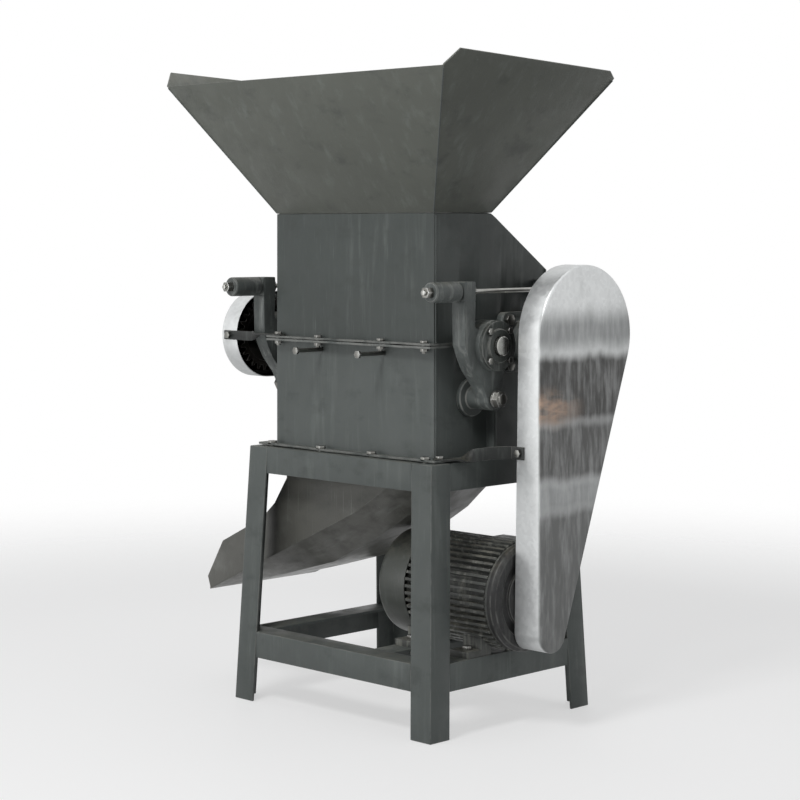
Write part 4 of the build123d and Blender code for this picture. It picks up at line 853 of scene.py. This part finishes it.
# Millimetres: bead radii, the ripples' spacing, how far in the laps lie, gaps at the beads' ends.
HOUSING_BEAD = 1.5
HOPPER_BEAD = 1.3
RIPPLE = 3.2
SHEET_LAP = 4.5
BEAD_GAP = 5.0
BACK_SHEET_DROP = 106.0
HOPPER_RISE = 248.0
HOPPER_FLARE_X = 160.6
HOPPER_FLARE_BACK = 162.0
HOPPER_BEAD_SHARE = 0.985


def weld(name, start, end, radius):
    """A painted weld bead along a line: a rippled, uneven round ridge with closed ends."""
    bm = bmesh.new()
    run = (end - start).length
    ring = bmesh.ops.create_circle(bm, cap_ends=True, segments=8, radius=radius * MM)
    count = max(int(run / (RIPPLE * MM)), 4)
    step = run / count
    edges = {edge for vert in ring["verts"] for edge in vert.link_edges}
    for number in range(count * 2):
        made = bmesh.ops.extrude_edge_only(bm, edges=list(edges))["geom"]
        verts = [item for item in made if isinstance(item, bmesh.types.BMVert)]
        edges = [item for item in made if isinstance(item, bmesh.types.BMEdge)]
        edges = [edge for edge in edges if all(vert in verts for vert in edge.verts)]
        bmesh.ops.translate(bm, verts=verts, vec=(0.0, 0.0, step / 2))
        swell = 1.18 if number % 2 else 0.85
        swell *= 1.0 + 0.12 * noise.noise(Vector((number * 0.9, start.z * 40, start.x * 40)))
        middle = Vector((0.0, 0.0, verts[0].co.z))
        for vert in verts:
            vert.co = middle + (vert.co - middle).normalized() * radius * swell * MM
    bmesh.ops.contextual_create(bm, geom=edges)
    bmesh.ops.recalc_face_normals(bm, faces=bm.faces)
    turn = (end - start).to_track_quat("Z", "Y").to_matrix()
    bmesh.ops.rotate(bm, verts=bm.verts, cent=(0.0, 0.0, 0.0), matrix=turn)
    bmesh.ops.translate(bm, verts=bm.verts, vec=start)
    return make_piece(name, bm, "root", "housing_paint", smooth=60.0)


def weld_housing_corners():
    """Beads down the corners, where the front and back sheets lap the side sheets."""
    split_z = housing_high.z / MM
    top_z = hopper_low.z / MM
    lower_top = split_z - BEAD_GAP
    runs = {
        "lower": (housing_low.z / MM + BEAD_GAP, lower_top, lower_top),
        "upper": (split_z + BEAD_GAP, top_z - BEAD_GAP, top_z - BACK_SHEET_DROP),
    }
    lap_y = HOUSING_HALF_Y - SHEET_LAP
    for part, (bottom, front_top, back_top) in runs.items():
        for side, sign in (("left", -1), ("right", 1)):
            x = sign * (HOUSING_HALF_X + 0.2)
            for end, y, top in (("front", -lap_y, front_top), ("back", lap_y, back_top)):
                weld(f"{part}_{end}_{side}_weld", at(x, y, bottom), at(x, y, top), HOUSING_BEAD)


def weld_hopper_corners():
    """Beads up the hopper's four slanting corners, which end a little below the rim."""
    front = (hopper_low.y - machine_y) / MM
    back = (hopper_high.y - machine_y) / MM
    foot_z = hopper_low.z / MM + 1.0
    rim_z = hopper_low.z / MM + HOPPER_RISE
    runs = {"front": (-HOUSING_HALF_Y, front), "back": (back - HOPPER_FLARE_BACK, back)}
    for side, sign in (("left", -1), ("right", 1)):
        for end, (foot_y, rim_y) in runs.items():
            start = at(sign * HOUSING_HALF_X, foot_y, foot_z)
            rim = at(sign * (HOUSING_HALF_X + HOPPER_FLARE_X), rim_y, rim_z)
            finish = start.lerp(rim, HOPPER_BEAD_SHARE)
            weld(f"hopper_{end}_{side}_weld", start, finish, HOPPER_BEAD)


weld_housing_corners()
weld_hopper_corners()

# ------------------------------------------------------------------ nodes shown as they are

for name, node in nodes.items():
    if not node.hide_render:
        node.data.materials.clear()
        node.data.materials.append(LOOKS[look_of(name)])

# ------------------------------------------------------------------ floor, light and camera


FLOOR_HALF = 6.0
FLOOR_DROP = 0.5
FLOOR_FADE = (1.2, 3.2)
FLOOR_PALER = 0.55
FILL_STRENGTH = 0.19
# Name, place and aim in the machine's millimetres, side in metres, watts.
LAMPS = (
    ("key", (600, -2300, 3000), (0, 0, 650), 0.8, 50.0),
    ("front_fill", (-900, -3000, 500), (0, 0, 450), 2.2, 27.0),
    ("right_fill", (3000, 500, 1500), (0, 0, 650), 1.8, 8.5),
    ("top", (0, 300, 3400), (0, 0, 650), 2.0, 17.0),
)


def seen_directly(tree):
    """1 for what the camera sees straight, in a reflection or through glass."""
    path = add(tree, "ShaderNodeLightPath")
    seen = path.outputs["Is Camera Ray"]
    for kind in ("Is Glossy Ray", "Is Transmission Ray"):
        seen = add(tree, "ShaderNodeMath", {0: seen, 1: path.outputs[kind]}, operation="MAXIMUM").outputs[0]
    return seen


def make_floor():
    """Pale floor that fades into the white around it."""
    bm = bmesh.new()
    bmesh.ops.create_grid(bm, x_segments=1, y_segments=1, size=FLOOR_HALF)
    mesh = bpy.data.meshes.new("floor")
    bm.to_mesh(mesh)
    bm.free()
    floor = bpy.data.objects.new("floor", mesh)
    bpy.context.scene.collection.objects.link(floor)
    floor.location.z = -FLOOR_DROP * MM
    material = bpy.data.materials.new("floor_white")
    material.use_nodes = True
    tree = material.node_tree
    surface = tree.nodes["Principled BSDF"]
    surface.inputs["Base Color"].default_value = shade(243, 243, 243)
    surface.inputs["Roughness"].default_value = 0.6
    place = add(tree, "ShaderNodeTexCoord").outputs["Object"]
    length = add(tree, "ShaderNodeVectorMath", {0: place}, operation="LENGTH").outputs["Value"]
    fade = ramp(tree, length, *FLOOR_FADE)
    clear = add(tree, "ShaderNodeBsdfTransparent")
    white = add(tree, "ShaderNodeEmission", Color=(1.0, 1.0, 1.0, 1.0), Strength=1.0)
    paler = add(tree, "ShaderNodeMath", {0: seen_directly(tree)}, operation="MULTIPLY")
    paler.inputs[1].default_value = FLOOR_PALER
    lit = add(
        tree, "ShaderNodeMixShader", {"Fac": paler.outputs[0], 1: surface.outputs[0], 2: white.outputs[0]}
    )
    mix = add(tree, "ShaderNodeMixShader", {"Fac": fade, 1: lit.outputs[0], 2: clear.outputs[0]})
    tree.links.new(mix.outputs[0], tree.nodes["Material Output"].inputs["Surface"])
    mesh.materials.append(material)


def make_world():
    """Even pale surroundings: soft fill on the machine, white to the camera and in reflections."""
    world = bpy.data.worlds.new("studio")
    bpy.context.scene.world = world
    world.use_nodes = True
    tree = world.node_tree
    fill = tree.nodes["Background"]
    fill.inputs["Color"].default_value = shade(238, 240, 244)
    fill.inputs["Strength"].default_value = FILL_STRENGTH
    white = add(tree, "ShaderNodeBackground", Color=(1.0, 1.0, 1.0, 1.0), Strength=1.0)
    seen = seen_directly(tree)
    mix = add(tree, "ShaderNodeMixShader", {"Fac": seen, 1: fill.outputs[0], 2: white.outputs[0]})
    tree.links.new(mix.outputs[0], tree.nodes["World Output"].inputs["Surface"])


def area_light(name, place, aim, size, power):
    """A square soft box at one place, turned to face another."""
    data = bpy.data.lights.new(name, "AREA")
    data.shape = "SQUARE"
    data.size = size
    data.energy = power
    light = bpy.data.objects.new(name, data)
    light.location = place
    light.rotation_euler = (aim - place).to_track_quat("-Z", "Y").to_euler()
    bpy.context.scene.collection.objects.link(light)


def make_camera():
    """The photograph's viewpoint, solved from its straight edges."""
    data = bpy.data.cameras.new("camera")
    data.sensor_width = 36.0
    data.lens = 92.53
    data.shift_x = 0.0368
    data.shift_y = -0.2107
    camera = bpy.data.objects.new("camera", data)
    camera.location = at(2757.93, -2831.54, 902.65)
    camera.rotation_euler = (radians(90.0), 0.0, radians(45.354))
    bpy.context.scene.collection.objects.link(camera)
    bpy.context.scene.camera = camera


make_floor()
make_world()
for name, place, aim, side, watts in LAMPS:
    area_light(name, at(*place), at(*aim), side, watts)
make_camera()

bpy.context.scene.view_settings.view_transform = "Standard"
